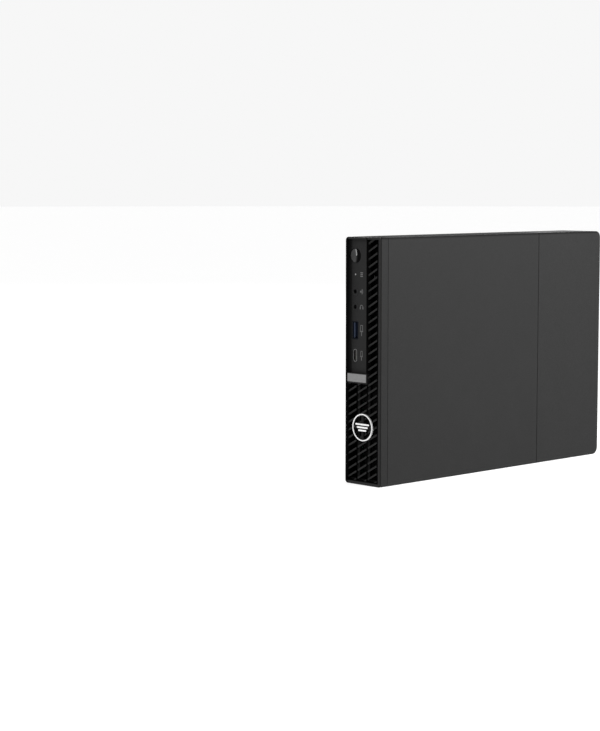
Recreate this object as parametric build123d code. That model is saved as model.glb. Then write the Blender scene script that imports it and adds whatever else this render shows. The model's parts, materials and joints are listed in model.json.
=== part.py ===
from build123d import *
import os
from math import cos, pi, sin

# A small desktop computer that stands upright on its narrow bottom, with a cover over its rear
# connectors. Millimetres, +Z up, front face towards -Y, removable side cover towards +X, feet
# towards -X. The origin is the middle of the footprint, at the bottom.

# ---- driving dimensions ----
HEIGHT = 182.0
BODY_DEPTH = 178.5
CABLE_COVER_DEPTH = 78.0
COVER_X = 18.0
FEET_X = -18.0

FRONT = -(BODY_DEPTH + CABLE_COVER_DEPTH) / 2
SEAM = FRONT + BODY_DEPTH
REAR = SEAM + CABLE_COVER_DEPTH

# ---- steel case ----
STEEL = 1.0
BASE_X = -17.0
BASE_IN = BASE_X + STEEL
WALL_TOP_X = 16.6
CASE_FRONT = FRONT + 6.5
CASE_BEND_R = 0.7
FRONT_WALL = (FRONT + 10.0, FRONT + 10.8)
REAR_PANEL = (SEAM - 3.3, SEAM - 2.5)
REAR_FACE = REAR_PANEL[1]
PANEL_X = (BASE_IN, 16.4)
FRONT_WINDOW_X = (-15.4, 2.8)
FRONT_WINDOW_Z = (86.0, 177.0)
FRONT_SLOT = (2.6, 7.6)
FRONT_SLOT_PITCH = 5.6
FRONT_SLOT_START_Z = 9.0
FRONT_SLOT_COLUMNS = [(-10.4, 13), (0.0, 13), (10.4, 30)]
VENT_SLOT = (15.0, 2.4)
VENT_PITCH = 4.3
VENT_START = (7.0, 12.0)
VENT_COUNT = 17
FOOT_R = 6.0
FOOT_ROUND = 0.4
FEET_YZ = [(FRONT + y, z) for y in (14, 164) for z in (14, 168)]
MOUNT_CENTRE = (FRONT + 89.25, 91.0)
MOUNT_SPACING = 100.0
MOUNT_HOLE_R = 1.65
MOUNT_COLLAR_R = 3.2
MOUNT_COLLAR_X = BASE_IN + 1.1

# ---- front bezel ----
BEZEL_X = (-17.5, 18.0)
BEZEL_LIP = 1.0
BEZEL_BASE_R = 2.5
BEZEL_EDGE_R = 0.45
COLLAR_X = 16.7
COLLAR_END = FRONT + 6.2
OPENING_X = (-16.3, 15.9)
OPENING_Z = (2.6, 180.4)
SKIRT_X = (-15.9, 16.3)
SKIRT_Z = (1.1, 180.9)
SKIRT_END = FRONT + 9.8
SKIRT_WALL = 1.3
PANEL_FLOOR = FRONT + 3.6
PANEL_BACK = PANEL_FLOOR + 1.4
PANEL_COVE = 2.0
DIVIDER_X = (3.8, 4.6)
LABEL_X = (-15.2, DIVIDER_X[0])
LABEL_Z = (75.8, 81.7)
LABEL_BRIDGE_Z = (74.8, 82.2)
LABEL_THICK = 0.3
JOIN = 0.5

# ---- grilles of the bezel ----
COLUMNS = [(-15.4, -7.6), (-5.1, 2.9), (5.3, 13.3)]
COLUMN_PITCH = 10.35
SLAT_PITCH = 5.76
SLAT_HEIGHT = 1.35
SLAT_START_Z = 4.15
SLAT_Y = (FRONT + 1.2, FRONT + 4.6)
SLAT_BITE = 0.4
SMALLEST_SLAT = 1.0
RIB_Y = (FRONT + 3.2, FRONT + 5.4)
SILL_TOP_Z = 4.2

# ---- badge ----
BADGE_XZ = (0.0, 42.6)
BADGE_R = 10.1
BADGE_BAND = 0.9
BADGE_RING_ROUND = 0.3
BADGE_CARRIER_FACE = FRONT + 0.4
BADGE_CARRIER_BAND = 0.7
BADGE_ARM = 2.3
BADGE_POST_R = 0.9
MARK_FACE = FRONT + 0.1
MARK_BAR = 1.2
MARK_BARS = [(2.2, 14.0), (0.0, 11.0), (-2.2, 8.0)]

# ---- side cover and its thumbscrew ----
COVER_START = FRONT + 2.0
CREASE_Y = FRONT + 8.2
CREASE_DROP = 0.6
CREASE_GROOVE = (0.25, 0.6)
COVER_END = SEAM - 0.25
COVER_EDGE_R = 0.6
FLANGE_X = 12.0
FLANGE_Y = (FRONT + 14.0, SEAM - 6.0)
FLANGE_Z = 1.8
FLANGE_THICK = 0.9
UPPER_ROW_X = 11.0
THUMBSCREW_Z = 128.0
THUMB_SHANK_R = 1.75
THUMB_HEAD_R = 4.6
THUMB_GROOVES = 24
THUMB_GROOVE_R = 0.28
TAB_Y = (REAR_FACE + 0.3, REAR_FACE + 1.1)
TAB_X = 6.5
TAB_HEIGHT = 18.0

# ---- cable cover and its screw ----
CABLE_WALL = 2.0
CABLE_FRONT = SEAM + 0.3
CABLE_CORNER_R = 5.5
CABLE_EDGE_R = 0.6
LIP_GAP = 0.3
LIP_WALL = 1.2
LIP_END_X = 15.0
LIP_Y = (REAR_FACE + 0.4, SEAM + 6.0)
EXIT_YZ = (SEAM + 48.0, 91.0)
EXIT_SIZE = (28.0, 50.0)
EXIT_CORNER_R = 5.0
CABLE_SCREW_YZ = (SEAM + 7.5, 91.0)
CABLE_HEAD_X = BASE_X + 1.3
CABLE_HEAD_R = 3.4
CABLE_SHANK_R = 1.45
CABLE_COLLAR_R = 2.8
EAR_X = (-14.2, -13.2)
EAR_WIDTH = 12.0
EAR_SLOT = 3.6

# ---- front controls and sockets ----
PORT_X = -10.7
BUTTON_Z = 168.2
BUTTON_R = 5.15
BUTTON_GAP = 0.35
BUTTON_FACE = FRONT + 3.7
BUTTON_DISH = 0.9
BUTTON_TRAVEL = 0.8
BUTTON_STEM_R = 1.6
BUTTON_STEM_END = FRONT + 11.0
BUTTON_LIGHT_WIDTH = 1.0
BUTTON_LIGHT_DEPTH = 1.8
SWITCH_Y = (FRONT + 13.4, FRONT + 18.0)
LIGHT_Z = 154.5
LIGHT_R = 0.6
JACK_Z = [142.0, 130.7]
JACK_BORE_R = 1.8
JACK_NOSE_R = 2.9
JACK_BODY = (-3.0, 3.4)
JACK_WIDTH = 6.4
JACK_END = FRONT + 19.0
JACK_BORE_END = FRONT + 17.5
TYPE_A_Z = 113.4
TYPE_A_SIZE = (5.7, 13.1)
TYPE_A_TONGUE = (-2.1, -0.6)
TYPE_A_TONGUE_WIDTH = 11.0
TYPE_C_Z = 94.9
TYPE_C_SIZE = (3.5, 9.3)
TYPE_C_TONGUE = (0.7, 6.7)
TONGUE_TIP = PANEL_FLOOR + 0.6
SHELL_WALL = 0.35
SHELL_END = FRONT + 12.9
SOCKET_GAP = 0.15
NOSE_STAND = 0.1
SPEAKER_X = (4.0, 15.0)
SPEAKER_Z = (112.0, 148.0)
SPEAKER_DEPTH = 11.0
CONE_SIZE = (8.0, 26.0)
CONE_ROUND = 3.9
ANTENNA_X = (4.2, 14.5)
ANTENNAS_Z = [100.0, 168.0]
ANTENNA_LENGTH = 18.0

# ---- circuit board ----
BOARD_X = (-14.6, -13.0)
BOARD_TOP = BOARD_X[1]
BOARD_Y = (FRONT + 13.0, SEAM - 4.2)
BOARD_Z = (5.0, 177.0)
BOARD_HOLE_R = 1.7
POST_R = 3.0
POST_SCREW_R = 1.25
BOARD_SCREWS_YZ = [
    (FRONT + 34, 90), (FRONT + 34, 173), (FRONT + 95, 90), (FRONT + 83, 173),
    (FRONT + 155, 88), (FRONT + 161, 174),
]

# ---- processor, heatsink and fan ----
CPU_YZ = (2.0, 46.0)
CPU_FRAME = (50.0, 46.0)
CPU_POCKET = 38.0
CPU_BASE = 37.5
CPU_LID = 30.0
CPU_X = (-12.2, -11.0)
CPU_FRAME_TOP_X = -9.6
HEATSINK_X = (-8.6, -6.0)
HEATSINK_Y = (FRONT + 103.0, FRONT + 158.0)
HEATSINK_Z = (8.0, 84.0)
HEATSINK_SCREW_IN = (6.0, 4.0)
HEATSINK_SCREWS_YZ = [
    (y, z)
    for y in (HEATSINK_Y[0] + HEATSINK_SCREW_IN[0], HEATSINK_Y[1] - HEATSINK_SCREW_IN[0])
    for z in (HEATSINK_Z[0] + HEATSINK_SCREW_IN[1], HEATSINK_Z[1] - HEATSINK_SCREW_IN[1])
]
FIN_ZONE_Z = (17.0, 75.0)
FIN_TOP_X = 10.0
FIN_COUNT = 24
FIN_THICK = 0.7
FAN_X = (-12.0, 9.0)
FAN_Y = (FRONT + 18.0, FRONT + 98.0)
FAN_Z = (8.0, 84.0)
FAN_WALL = 1.4
FAN_AXIS = (FRONT + 57.0, 46.0)
FAN_ROTOR_R = 32.0
FAN_CHAMBER_GAP = 3.5
FAN_INTAKE_R = 24.0
FAN_HUB_R = 13.0
FAN_HUB_HEIGHT = 14.2
FAN_PIN_R = 1.5
FAN_PIN_LENGTH = 12.0
FAN_BLADES = 31
FAN_BLADE = (8.0, 0.8)
FAN_BLADE_INNER_R = 24.5
FAN_BLADE_LEAN = 28.0
FAN_RING = 2.0
FAN_EAR_IN = 3.5
FAN_EARS_YZ = [
    (FAN_Y[0] + FAN_EAR_IN, FAN_Z[0] + FAN_EAR_IN),
    (FAN_Y[0] + FAN_EAR_IN, FAN_Z[1] - FAN_EAR_IN),
    (FAN_Y[1] - FAN_EAR_IN, FAN_Z[1] - FAN_EAR_IN),
]

# ---- cards and small parts on the board ----
MEMORY_SOCKETS_Y = [(-40.0, -33.6), (-3.4, 3.0)]
MEMORY_SOCKET_TOP_X = -8.6
MEMORY_SOCKET_LENGTH = 76.0
MEMORY_ARM_END = 30.0
MEMORY_Z = (98.2, 167.8)
MEMORY_CARD_X = (-10.9, -9.7)
MEMORY_CARD_DEPTH = 30.0
MEMORY_CARD_START = 2.4
MEMORY_CHIPS_Z = [107.0, 124.5, 141.5, 159.0]
MEMORY_CHIP = (9.6, 19.6, 13.0)
CARD_X = (-10.4, -9.6)
CARD_SOCKET_TOP_X = -8.8
SSD_Y = (-72.0, -50.0)
SSD_Z = (93.0, 170.0)
SSD_CHIPS_Z = [(98.0, 112.0), (118.0, 134.0), (140.0, 156.0)]
RADIO_Y = (-100.0, -78.0)
RADIO_Z = (98.0, 127.0)
RADIO_SHIELD_Z = (103.0, 121.0)
CHIP_EDGE = 2.0
CELL_YZ = (-96.0, 151.0)
CELL_R = 10.0
CELL_X = (-12.2, -9.0)
CELL_HOLDER = (11.8, 10.2, -9.4)
CHIPSET_YZ = (-60.0, 24.0)
CHIPSET_SIZE = (24.0, 0.9)
COILS_Y = [-25.0, -16.0, 3.0, 12.0]
COIL_Z = 90.0
COIL_SIZE = (7.5, 7.0)
COIL_TOP_X = -9.4
CANS_START_YZ = (-20.0, 16.5)
CAN_PITCH = 9.0
CAN_COUNT = 5
CAN_R = 3.0
CAN_TOP_X = -9.0

# ---- drive ----
DRIVE_X = (8.0, 15.0)
DRIVE_Y = (FRONT + 26.0, FRONT + 126.2)
DRIVE_Z = (98.0, 167.9)
DRIVE_CORNER_R = 2.0
DRIVE_SCREW_X = DRIVE_X[0] + 3.0
DRIVE_SCREW_Y = [DRIVE_Y[0] + 14.0, DRIVE_Y[1] - 9.4]
DRIVE_THREAD_R = 1.25
CADDY_WALL = 1.2
CADDY_GAP = 0.3
CADDY_Z = (DRIVE_Z[0] - CADDY_WALL - CADDY_GAP, DRIVE_Z[1] + CADDY_WALL + CADDY_GAP)
CADDY_X = (DRIVE_X[0] - CADDY_GAP - CADDY_WALL, 14.4)
CADDY_WINDOW_IN = (22.0, 16.0)
CADDY_LEG_R = 1.9
CADDY_LEGS_YZ = [(FRONT + y, z) for y in (23.0, 122.75) for z in (93.0, 173.6)]
STRIP_THICK = 0.4
STRIP_Z = (115.0, 139.0)
DRIVE_PLUG_Z = (108.0, 146.0)

# ---- rear sockets ----
SOCKET_BACK = REAR_FACE - 14.0
SOCKET_MOUTH = REAR_FACE + 0.4
POWER_X = -8.0
POWER_INLET_Z = 15.0
POWER_NOSE_R = 3.7
POWER_BORE_R = 2.6
POWER_CONTACT_R = 0.5
POWER_BORE_DEPTH = 10.0
DISPLAY_X = -9.4
DISPLAY_PORTS_Z = [36.0, 60.0]
DISPLAY_SIZE = (5.6, 16.9)
DISPLAY_CORNER = 1.8
DISPLAY_TONGUE = (1.2, 12.0)
DISPLAY_DEPTH = 11.0
NETWORK_X = -6.4
NETWORK_Z = 95.0
NETWORK_SIZE = (13.2, 16.0)
NETWORK_MOUTH = (8.4, 12.0)
NETWORK_LATCH = (2.6, 6.4)
REAR_TYPE_A_Z = [115.0, 133.0]
REAR_TYPE_A_X = [-8.9, -1.3]
OPTION_PORT_Z = 156.0
OPTION_CUT_X = (-12.6, -3.4)
OPTION_CUT_Z = 24.0
ANTENNA_PLUGS_Z = [92.0, 172.0]
ANTENNA_HOLE_R = 3.3
ANTENNA_CAP_R = 4.2
LOCK_SLOT_Z = 150.0
LOCK_SLOT = (3.0, 7.0, 0.9)
PADLOCK_Z = 108.0
PADLOCK_THICK = 1.6
PADLOCK_HOLE_R = 3.2
PADLOCK_REACH = REAR_FACE + 11.0


def block(xs, ys, zs):
    """A box between the given limits along each axis."""
    centre = [(low + high) / 2 for low, high in (xs, ys, zs)]
    return Pos(*centre) * Box(xs[1] - xs[0], ys[1] - ys[0], zs[1] - zs[0])


def about(centre, size):
    """The limits of a span of the given size about a centre."""
    return (centre - size / 2, centre + size / 2)


def front_prism(sketch, ys):
    """A sketch drawn as (x, z) and given thickness along Y."""
    return Pos(0, ys[1], 0) * extrude(Plane.XZ * sketch, amount=ys[1] - ys[0])


def side_prism(sketch, xs):
    """A sketch drawn as (y, z) and given thickness along X."""
    return Pos(xs[0], 0, 0) * extrude(Plane.YZ * sketch, amount=xs[1] - xs[0])


def front_rod(x, z, radius, ys):
    """A round bar along Y."""
    return front_prism(Pos(x, z) * Circle(radius), ys)


def side_rod(y, z, radius, xs):
    """A round bar along X."""
    return side_prism(Pos(y, z) * Circle(radius), xs)


def upright_rod(x, y, radius, zs):
    """A round bar along Z."""
    return Pos(x, y, sum(zs) / 2) * Cylinder(radius, zs[1] - zs[0])


def merge(solids):
    """Joins a list of overlapping or touching solids into one."""
    return solids[0].fuse(*solids[1:]).clean() if len(solids) > 1 else solids[0]


def group(solids):
    """Keeps a list of separate solids as one node."""
    return Compound(children=list(solids))


def screw_along_x(y, z, head_r, head_xs, shank_r, shank_xs):
    """A pan-head screw with a cross recess, driven towards -X."""
    screw = side_rod(y, z, head_r, head_xs) + side_rod(y, z, shank_r, shank_xs)
    recess_xs = (sum(head_xs) / 2, head_xs[1])
    slot = (head_r * 1.1, head_r * 0.3)
    for dy, dz in (slot, slot[::-1]):
        screw -= block(recess_xs, about(y, dy), about(z, dz))
    return screw


# ---------------------------------------------------------------- case and covers

def chassis_base():
    """Steel tray: base side, top, bottom, front wall and rear panel, with embossed posts."""
    ys = (CASE_FRONT, SEAM)
    inner = (STEEL, HEIGHT - STEEL)
    walls = [
        block((BASE_X, BASE_IN), ys, (0, HEIGHT)),
        block((BASE_X, WALL_TOP_X), ys, (0, STEEL)),
        block((BASE_X, WALL_TOP_X), ys, (HEIGHT - STEEL, HEIGHT)),
        block(PANEL_X, FRONT_WALL, inner) - front_wall_openings(),
        block(PANEL_X, REAR_PANEL, inner) - rear_panel_openings(),
    ]
    posts = [side_rod(y, z, POST_R, (BASE_IN, BOARD_X[0])) for y, z in BOARD_SCREWS_YZ]
    collars = [side_rod(y, z, MOUNT_COLLAR_R, (BASE_IN, MOUNT_COLLAR_X)) for y, z in mount_holes()]
    tray = merge(walls + posts + collars + [cable_screw_ear()])
    for y, z in BOARD_SCREWS_YZ:
        tray -= side_rod(y, z, POST_SCREW_R, (BASE_X + STEEL * 0.4, BOARD_X[0]))
    for y, z in mount_holes():
        tray -= side_rod(y, z, MOUNT_HOLE_R, (BASE_X, MOUNT_COLLAR_X))
    outer = tray.edges().filter_by(Axis.Y).group_by(Axis.X)[0]
    return fillet(outer, CASE_BEND_R)


def mount_holes():
    """Centres of the four holes that a bracket screws to, as (y, z)."""
    half = MOUNT_SPACING / 2
    y, z = MOUNT_CENTRE
    return [(y + dy, z + dz) for dy in (-half, half) for dz in (-half, half)]


def front_wall_openings():
    """Window for the front sockets, and the air slots behind the grilles."""
    slots = [
        front_prism(stadium(x, FRONT_SLOT_START_Z + FRONT_SLOT_PITCH * step, FRONT_SLOT[::-1]), FRONT_WALL)
        for x, count in FRONT_SLOT_COLUMNS
        for step in range(count)
    ]
    return [block(FRONT_WINDOW_X, FRONT_WALL, FRONT_WINDOW_Z)] + slots


def rear_panel_openings():
    """Cut-outs for the rear sockets, the vent slots and the fixings."""
    cuts = [block(xs, REAR_PANEL, zs) for xs, zs in rear_cutouts()]
    x, z = VENT_START
    cuts += [
        front_prism(stadium(x, z + VENT_PITCH * step, VENT_SLOT), REAR_PANEL)
        for step in range(VENT_COUNT)
    ]
    cuts += [front_rod(UPPER_ROW_X, z, ANTENNA_HOLE_R, REAR_PANEL) for z in ANTENNA_PLUGS_Z]
    cuts.append(front_rod(UPPER_ROW_X, THUMBSCREW_Z, THUMB_SHANK_R + 0.05, REAR_PANEL))
    cuts.append(front_rod(POWER_X, POWER_INLET_Z, POWER_NOSE_R + SOCKET_GAP, REAR_PANEL))
    cuts.append(front_prism(Pos(UPPER_ROW_X, LOCK_SLOT_Z) * RectangleRounded(*LOCK_SLOT), REAR_PANEL))
    cuts.append(block(about(UPPER_ROW_X, 6.0), REAR_PANEL, about(PADLOCK_Z, PADLOCK_THICK)))
    return cuts


def rear_cutouts():
    """Rectangular cut-outs of the rear panel, as (x limits, z limits)."""
    sockets = [(DISPLAY_X, z, DISPLAY_SIZE) for z in DISPLAY_PORTS_Z]
    sockets.append((NETWORK_X, NETWORK_Z, NETWORK_SIZE))
    sockets += [(x, z, TYPE_A_SIZE) for z in REAR_TYPE_A_Z for x in REAR_TYPE_A_X]
    cuts = []
    for x, z, size in sockets:
        width, height = grown(size)
        cuts.append((about(x, width), about(z, height)))
    return cuts + [(OPTION_CUT_X, about(OPTION_PORT_Z, OPTION_CUT_Z))]


def cable_screw_ear():
    """Tab behind the rear panel with an open slot that the cable cover's screw slides into."""
    y, z = CABLE_SCREW_YZ
    end = y + 5.0
    ear = block(EAR_X, (REAR_PANEL[0], end), about(z, EAR_WIDTH))
    slot = block(EAR_X, (y, end), about(z, EAR_SLOT)) + side_rod(y, z, EAR_SLOT / 2, EAR_X)
    return ear - slot


def bezel_outline(xs, zs, base_r, cover_r):
    """Rectangle with one corner radius on the base side and another on the cover side."""
    plate = Pos(sum(xs) / 2, sum(zs) / 2) * Rectangle(xs[1] - xs[0], zs[1] - zs[0])
    plate = fillet(plate.vertices().group_by(Axis.X)[0], base_r)
    return fillet(plate.vertices().group_by(Axis.X)[-1], cover_r)


def front_bezel():
    """Moulded front: rim, skirt, recessed socket panel, label bridge and slatted grilles."""
    whole = (0, HEIGHT)
    rim_ys = (FRONT, FRONT + BEZEL_LIP)
    rim = front_prism(bezel_outline(BEZEL_X, whole, BEZEL_BASE_R, 1.0), rim_ys)
    rim = fillet(rim.faces().sort_by(Axis.Y)[0].edges(), BEZEL_EDGE_R)
    collar_outline = bezel_outline((BEZEL_X[0], COLLAR_X), whole, BEZEL_BASE_R, 0.5)
    collar = front_prism(collar_outline, (rim_ys[1], COLLAR_END))
    skirt_ys = (COLLAR_END, SKIRT_END)
    body = merge([rim, collar, block(SKIRT_X, skirt_ys, SKIRT_Z)])
    body -= block(OPENING_X, (FRONT, COLLAR_END), OPENING_Z)
    body -= block(shrunk(SKIRT_X, SKIRT_WALL), skirt_ys, shrunk(SKIRT_Z, SKIRT_WALL))
    body = merge([body, socket_panel(), divider(), label_bridge()] + grille_ribs() + grille_slats())
    for hole in panel_holes():
        body -= hole
    return body - badge_post(0.05)


def shrunk(span, wall):
    """A span drawn in by a wall at both ends."""
    return (span[0] + wall, span[1] - wall)


def socket_panel():
    """Recessed floor that holds the button and sockets, with a cove along its base side."""
    xs = (OPENING_X[0], DIVIDER_X[0])
    zs = (LABEL_BRIDGE_Z[0], OPENING_Z[1])
    floor = block((xs[0] - JOIN, xs[1]), (PANEL_FLOOR, PANEL_BACK), zs)
    cove = block((xs[0], xs[0] + PANEL_COVE), (PANEL_FLOOR - PANEL_COVE, PANEL_FLOOR), zs)
    cove -= upright_rod(xs[0] + PANEL_COVE, PANEL_FLOOR - PANEL_COVE, PANEL_COVE, zs)
    return merge([floor, cove])


def divider():
    """Thin wall between the socket panel and the narrow grille beside it."""
    return block(DIVIDER_X, (FRONT + 0.2, RIB_Y[1]), (LABEL_BRIDGE_Z[0], OPENING_Z[1] + JOIN))


def label_bridge():
    """Bar that carries the blank label, level with the rim."""
    return block((OPENING_X[0], DIVIDER_X[1]), (FRONT + LABEL_THICK, PANEL_BACK), LABEL_BRIDGE_Z)


def grille_ribs():
    """Upright ribs between the columns of slats, and a sill below them, set back from the slats' front."""
    edges = [OPENING_X[0] - JOIN] + [x for column in COLUMNS for x in column] + [OPENING_X[1] + JOIN]
    short = (OPENING_Z[0] - JOIN, LABEL_BRIDGE_Z[0] + JOIN)
    tall = (OPENING_Z[0] - JOIN, OPENING_Z[1] + JOIN)
    spans = [
        (edges[0:2], short), (edges[2:4], short), (edges[4:6], short),
        ((DIVIDER_X[0], edges[5]), tall), (edges[6:8], tall),
    ]
    sill = block((edges[0], edges[-1]), RIB_Y, (short[0], SILL_TOP_Z))
    return [block(xs, RIB_Y, zs) for xs, zs in spans] + [sill]


def grille_slats():
    """Slanted slats, in line from one column to the next, trimmed to the openings."""
    slope = SLAT_PITCH / COLUMN_PITCH
    slats = []
    for left, right in COLUMNS:
        top = OPENING_Z[1] if (left, right) == COLUMNS[-1] else LABEL_BRIDGE_Z[0]
        window = block((left - SLAT_BITE, right + SLAT_BITE), SLAT_Y, (OPENING_Z[0] - 0.3, top + 0.3))
        for step in range(-2, int(top / SLAT_PITCH) + 1):
            slats += slat(left, right, slope, SLAT_START_Z + SLAT_PITCH * step, window)
    return slats


def slat(left, right, slope, z, window):
    """One slat of a column, or nothing where it lies wholly outside the window."""
    ends = [(x, z + (x - left) * slope) for x in (left - SLAT_BITE, right + SLAT_BITE)]
    outline = ends + [(x, height + SLAT_HEIGHT) for x, height in reversed(ends)]
    kept = front_prism(make_face(Polyline(*outline, close=True)), SLAT_Y) & window
    return [solid for solid in kept.solids() if solid.volume > SMALLEST_SLAT] if kept else []


def panel_holes():
    """Openings in the socket panel for the button, light and sockets."""
    ys = (PANEL_FLOOR - PANEL_COVE, PANEL_BACK)
    holes = [
        front_rod(PORT_X, BUTTON_Z, BUTTON_R + BUTTON_GAP, ys),
        front_rod(PORT_X, LIGHT_Z, LIGHT_R, ys),
        front_prism(Pos(PORT_X, TYPE_A_Z) * Rectangle(*grown(TYPE_A_SIZE)), ys),
        front_prism(stadium(PORT_X, TYPE_C_Z, grown(TYPE_C_SIZE)), ys),
    ]
    return holes + [front_rod(PORT_X, z, JACK_NOSE_R + SOCKET_GAP, ys) for z in JACK_Z]


def grown(size):
    """A socket's outline with its clearance all round."""
    return tuple(side + 2 * SOCKET_GAP for side in size)


def hollow(size):
    """The inside of a sheet-metal shell with the given outline."""
    return tuple(side - 2 * SHELL_WALL for side in size)


def stadium(x, z, size):
    """Slot shape with round ends, as (width, height), long in either direction."""
    long_way = Rotation(0, 0, 0 if size[0] > size[1] else 90)
    return Pos(x, z) * long_way * SlotOverall(max(size), min(size))


def label_strip():
    """Thin blank metal label on its bridge."""
    return block(LABEL_X, (FRONT, FRONT + LABEL_THICK), LABEL_Z)


# ---------------------------------------------------------------- badge

def badge_post(gap=0.0):
    """Short spigot behind the badge that snaps into the rib between two columns."""
    x = (COLUMNS[1][1] + COLUMNS[2][0]) / 2
    return front_rod(x, BADGE_XZ[1], BADGE_POST_R + gap, (SLAT_Y[0], RIB_Y[1]))


def badge_hoop(outer_r, width, ys):
    """A flat ring about the badge's centre."""
    x, z = BADGE_XZ
    return front_rod(x, z, outer_r, ys) - front_rod(x, z, outer_r - width, ys)


def badge_ring():
    """Bright ring round the edge of the badge."""
    ring = badge_hoop(BADGE_R, BADGE_BAND, (FRONT, SLAT_Y[0]))
    return fillet(ring.faces().sort_by(Axis.Y)[0].edges(), BADGE_RING_ROUND)


def badge_carrier():
    """Dark hoop inside the ring, with a cross that carries the mark and one spigot."""
    x, z = BADGE_XZ
    ys = (BADGE_CARRIER_FACE, SLAT_Y[0])
    outer_r = BADGE_R - BADGE_BAND
    reach = 2 * outer_r - BADGE_CARRIER_BAND
    across = block(about(x, reach), ys, about(z, BADGE_ARM))
    upright = block(about(x, BADGE_ARM), ys, about(z, reach))
    return merge([badge_hoop(outer_r, BADGE_CARRIER_BAND, ys), across, upright, badge_post()])


def badge_mark():
    """Generic mark on the badge: three bars of falling length."""
    x, z = BADGE_XZ
    ys = (MARK_FACE, BADGE_CARRIER_FACE)
    return group(front_prism(stadium(x, z + rise, (length, MARK_BAR)), ys) for rise, length in MARK_BARS)


# ---------------------------------------------------------------- feet and covers

def rubber_feet():
    """Four round feet on the base side."""
    feet = [side_rod(y, z, FOOT_R, (FEET_X, BASE_X)) for y, z in FEET_YZ]
    return group(fillet(foot.faces().sort_by(Axis.X)[0].edges(), FOOT_ROUND) for foot in feet)


def side_cover():
    """Removable steel side: plate with a pressed front edge, two flanges and a rear tab."""
    plate_xs = (COVER_X - STEEL, COVER_X)
    plate = block(plate_xs, (COVER_START, COVER_END), (0, HEIGHT))
    wedge = Polyline(
        (COVER_X, CREASE_Y), (COVER_X, COVER_START), (COVER_X - CREASE_DROP, COVER_START), close=True
    )
    plate -= extrude(make_face(wedge), amount=HEIGHT)
    depth, width = CREASE_GROOVE
    plate -= block((COVER_X - depth, COVER_X), about(CREASE_Y, width), (0, HEIGHT))
    plate = fillet(plate.edges().filter_by(Axis.Y).group_by(Axis.X)[-1], COVER_EDGE_R)
    inset = FLANGE_Z + FLANGE_THICK
    flanges = [
        block((FLANGE_X, plate_xs[0]), FLANGE_Y, zs)
        for zs in ((FLANGE_Z, inset), (HEIGHT - inset, HEIGHT - FLANGE_Z))
    ]
    return merge([plate, rear_tab()] + flanges)


def rear_tab():
    """Tab of the side cover that lies over the rear panel, notched around the thumbscrew."""
    notch_r = THUMB_SHANK_R + 0.4
    tab = block((TAB_X, COVER_X - STEEL), TAB_Y, about(THUMBSCREW_Z, TAB_HEIGHT))
    tab -= block((TAB_X, UPPER_ROW_X), TAB_Y, about(THUMBSCREW_Z, 2 * notch_r))
    return tab - front_rod(UPPER_ROW_X, THUMBSCREW_Z, notch_r, TAB_Y)


def cover_thumbscrew():
    """Knurled captive screw that clamps the side cover's tab."""
    head_ys = (TAB_Y[1] + 0.3, TAB_Y[1] + 6.0)
    head = front_rod(UPPER_ROW_X, THUMBSCREW_Z, THUMB_HEAD_R, head_ys)
    head = chamfer(head.faces().sort_by(Axis.Y)[-1].edges(), 0.5)
    shank_ys = (REAR_PANEL[0] - 4.0, head_ys[0])
    screw = head + front_rod(UPPER_ROW_X, THUMBSCREW_Z, THUMB_SHANK_R, shank_ys)
    for step in range(THUMB_GROOVES):
        turn = 2 * pi * step / THUMB_GROOVES
        x = UPPER_ROW_X + THUMB_HEAD_R * cos(turn)
        z = THUMBSCREW_Z + THUMB_HEAD_R * sin(turn)
        screw -= front_rod(x, z, THUMB_GROOVE_R, (head_ys[0] + 0.6, head_ys[1]))
    slot_ys = (head_ys[1] - 1.2, head_ys[1])
    return screw - block(about(UPPER_ROW_X, 6.0), slot_ys, about(THUMBSCREW_Z, 1.0))


def cable_cover():
    """Moulded hood over the rear sockets, open towards the case, with a cable slot."""
    outer = hood_shape((BASE_X, COVER_X), 0.0)
    inner = hood_shape(shrunk((BASE_X, COVER_X), CABLE_WALL), CABLE_WALL)
    edges = outer.edges().filter_by(Axis.Y) + outer.faces().sort_by(Axis.Y)[-1].edges().filter_by(Axis.Z)
    hood = merge([fillet(edges, CABLE_EDGE_R) - inner, hood_lip()])
    exit_slot = Pos(*EXIT_YZ) * RectangleRounded(*EXIT_SIZE, EXIT_CORNER_R)
    hood -= side_prism(exit_slot, (BASE_X, BASE_X + CABLE_WALL))
    y, z = CABLE_SCREW_YZ
    hood -= side_rod(y, z, CABLE_HEAD_R + 0.3, (BASE_X, CABLE_HEAD_X))
    return hood - side_rod(y, z, CABLE_SHANK_R + 0.05, (BASE_X, EAR_X[0]))


def hood_shape(xs, inset):
    """The hood's block, inset from its outer face, with its two rear corners rounded."""
    solid = block(xs, (CABLE_FRONT, REAR - inset), (inset, HEIGHT - inset))
    corners = solid.faces().sort_by(Axis.Y)[-1].edges().filter_by(Axis.X)
    return fillet(corners, CABLE_CORNER_R - inset)


def hood_lip():
    """Three-sided lip that plugs into the case behind the rear panel."""
    outer_z = shrunk((0, HEIGHT), STEEL + LIP_GAP)
    start_x = BASE_IN + LIP_GAP
    shell = block((start_x, LIP_END_X), LIP_Y, outer_z)
    return shell - block((start_x + LIP_WALL, LIP_END_X), LIP_Y, shrunk(outer_z, LIP_WALL))


def cable_cover_screw():
    """Captive shoulder screw: slotted head outside, collar behind the case's ear."""
    y, z = CABLE_SCREW_YZ
    head_xs = (BASE_X, CABLE_HEAD_X - 0.1)
    collar_xs = (EAR_X[1] + 0.35, EAR_X[1] + 1.35)
    head = side_rod(y, z, CABLE_HEAD_R, head_xs)
    shank = side_rod(y, z, CABLE_SHANK_R, (head_xs[1], collar_xs[0]))
    screw = merge([head, shank, side_rod(y, z, CABLE_COLLAR_R, collar_xs)])
    return screw - block((BASE_X, BASE_X + 0.7), about(y, 5.4), about(z, 0.9))


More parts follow.
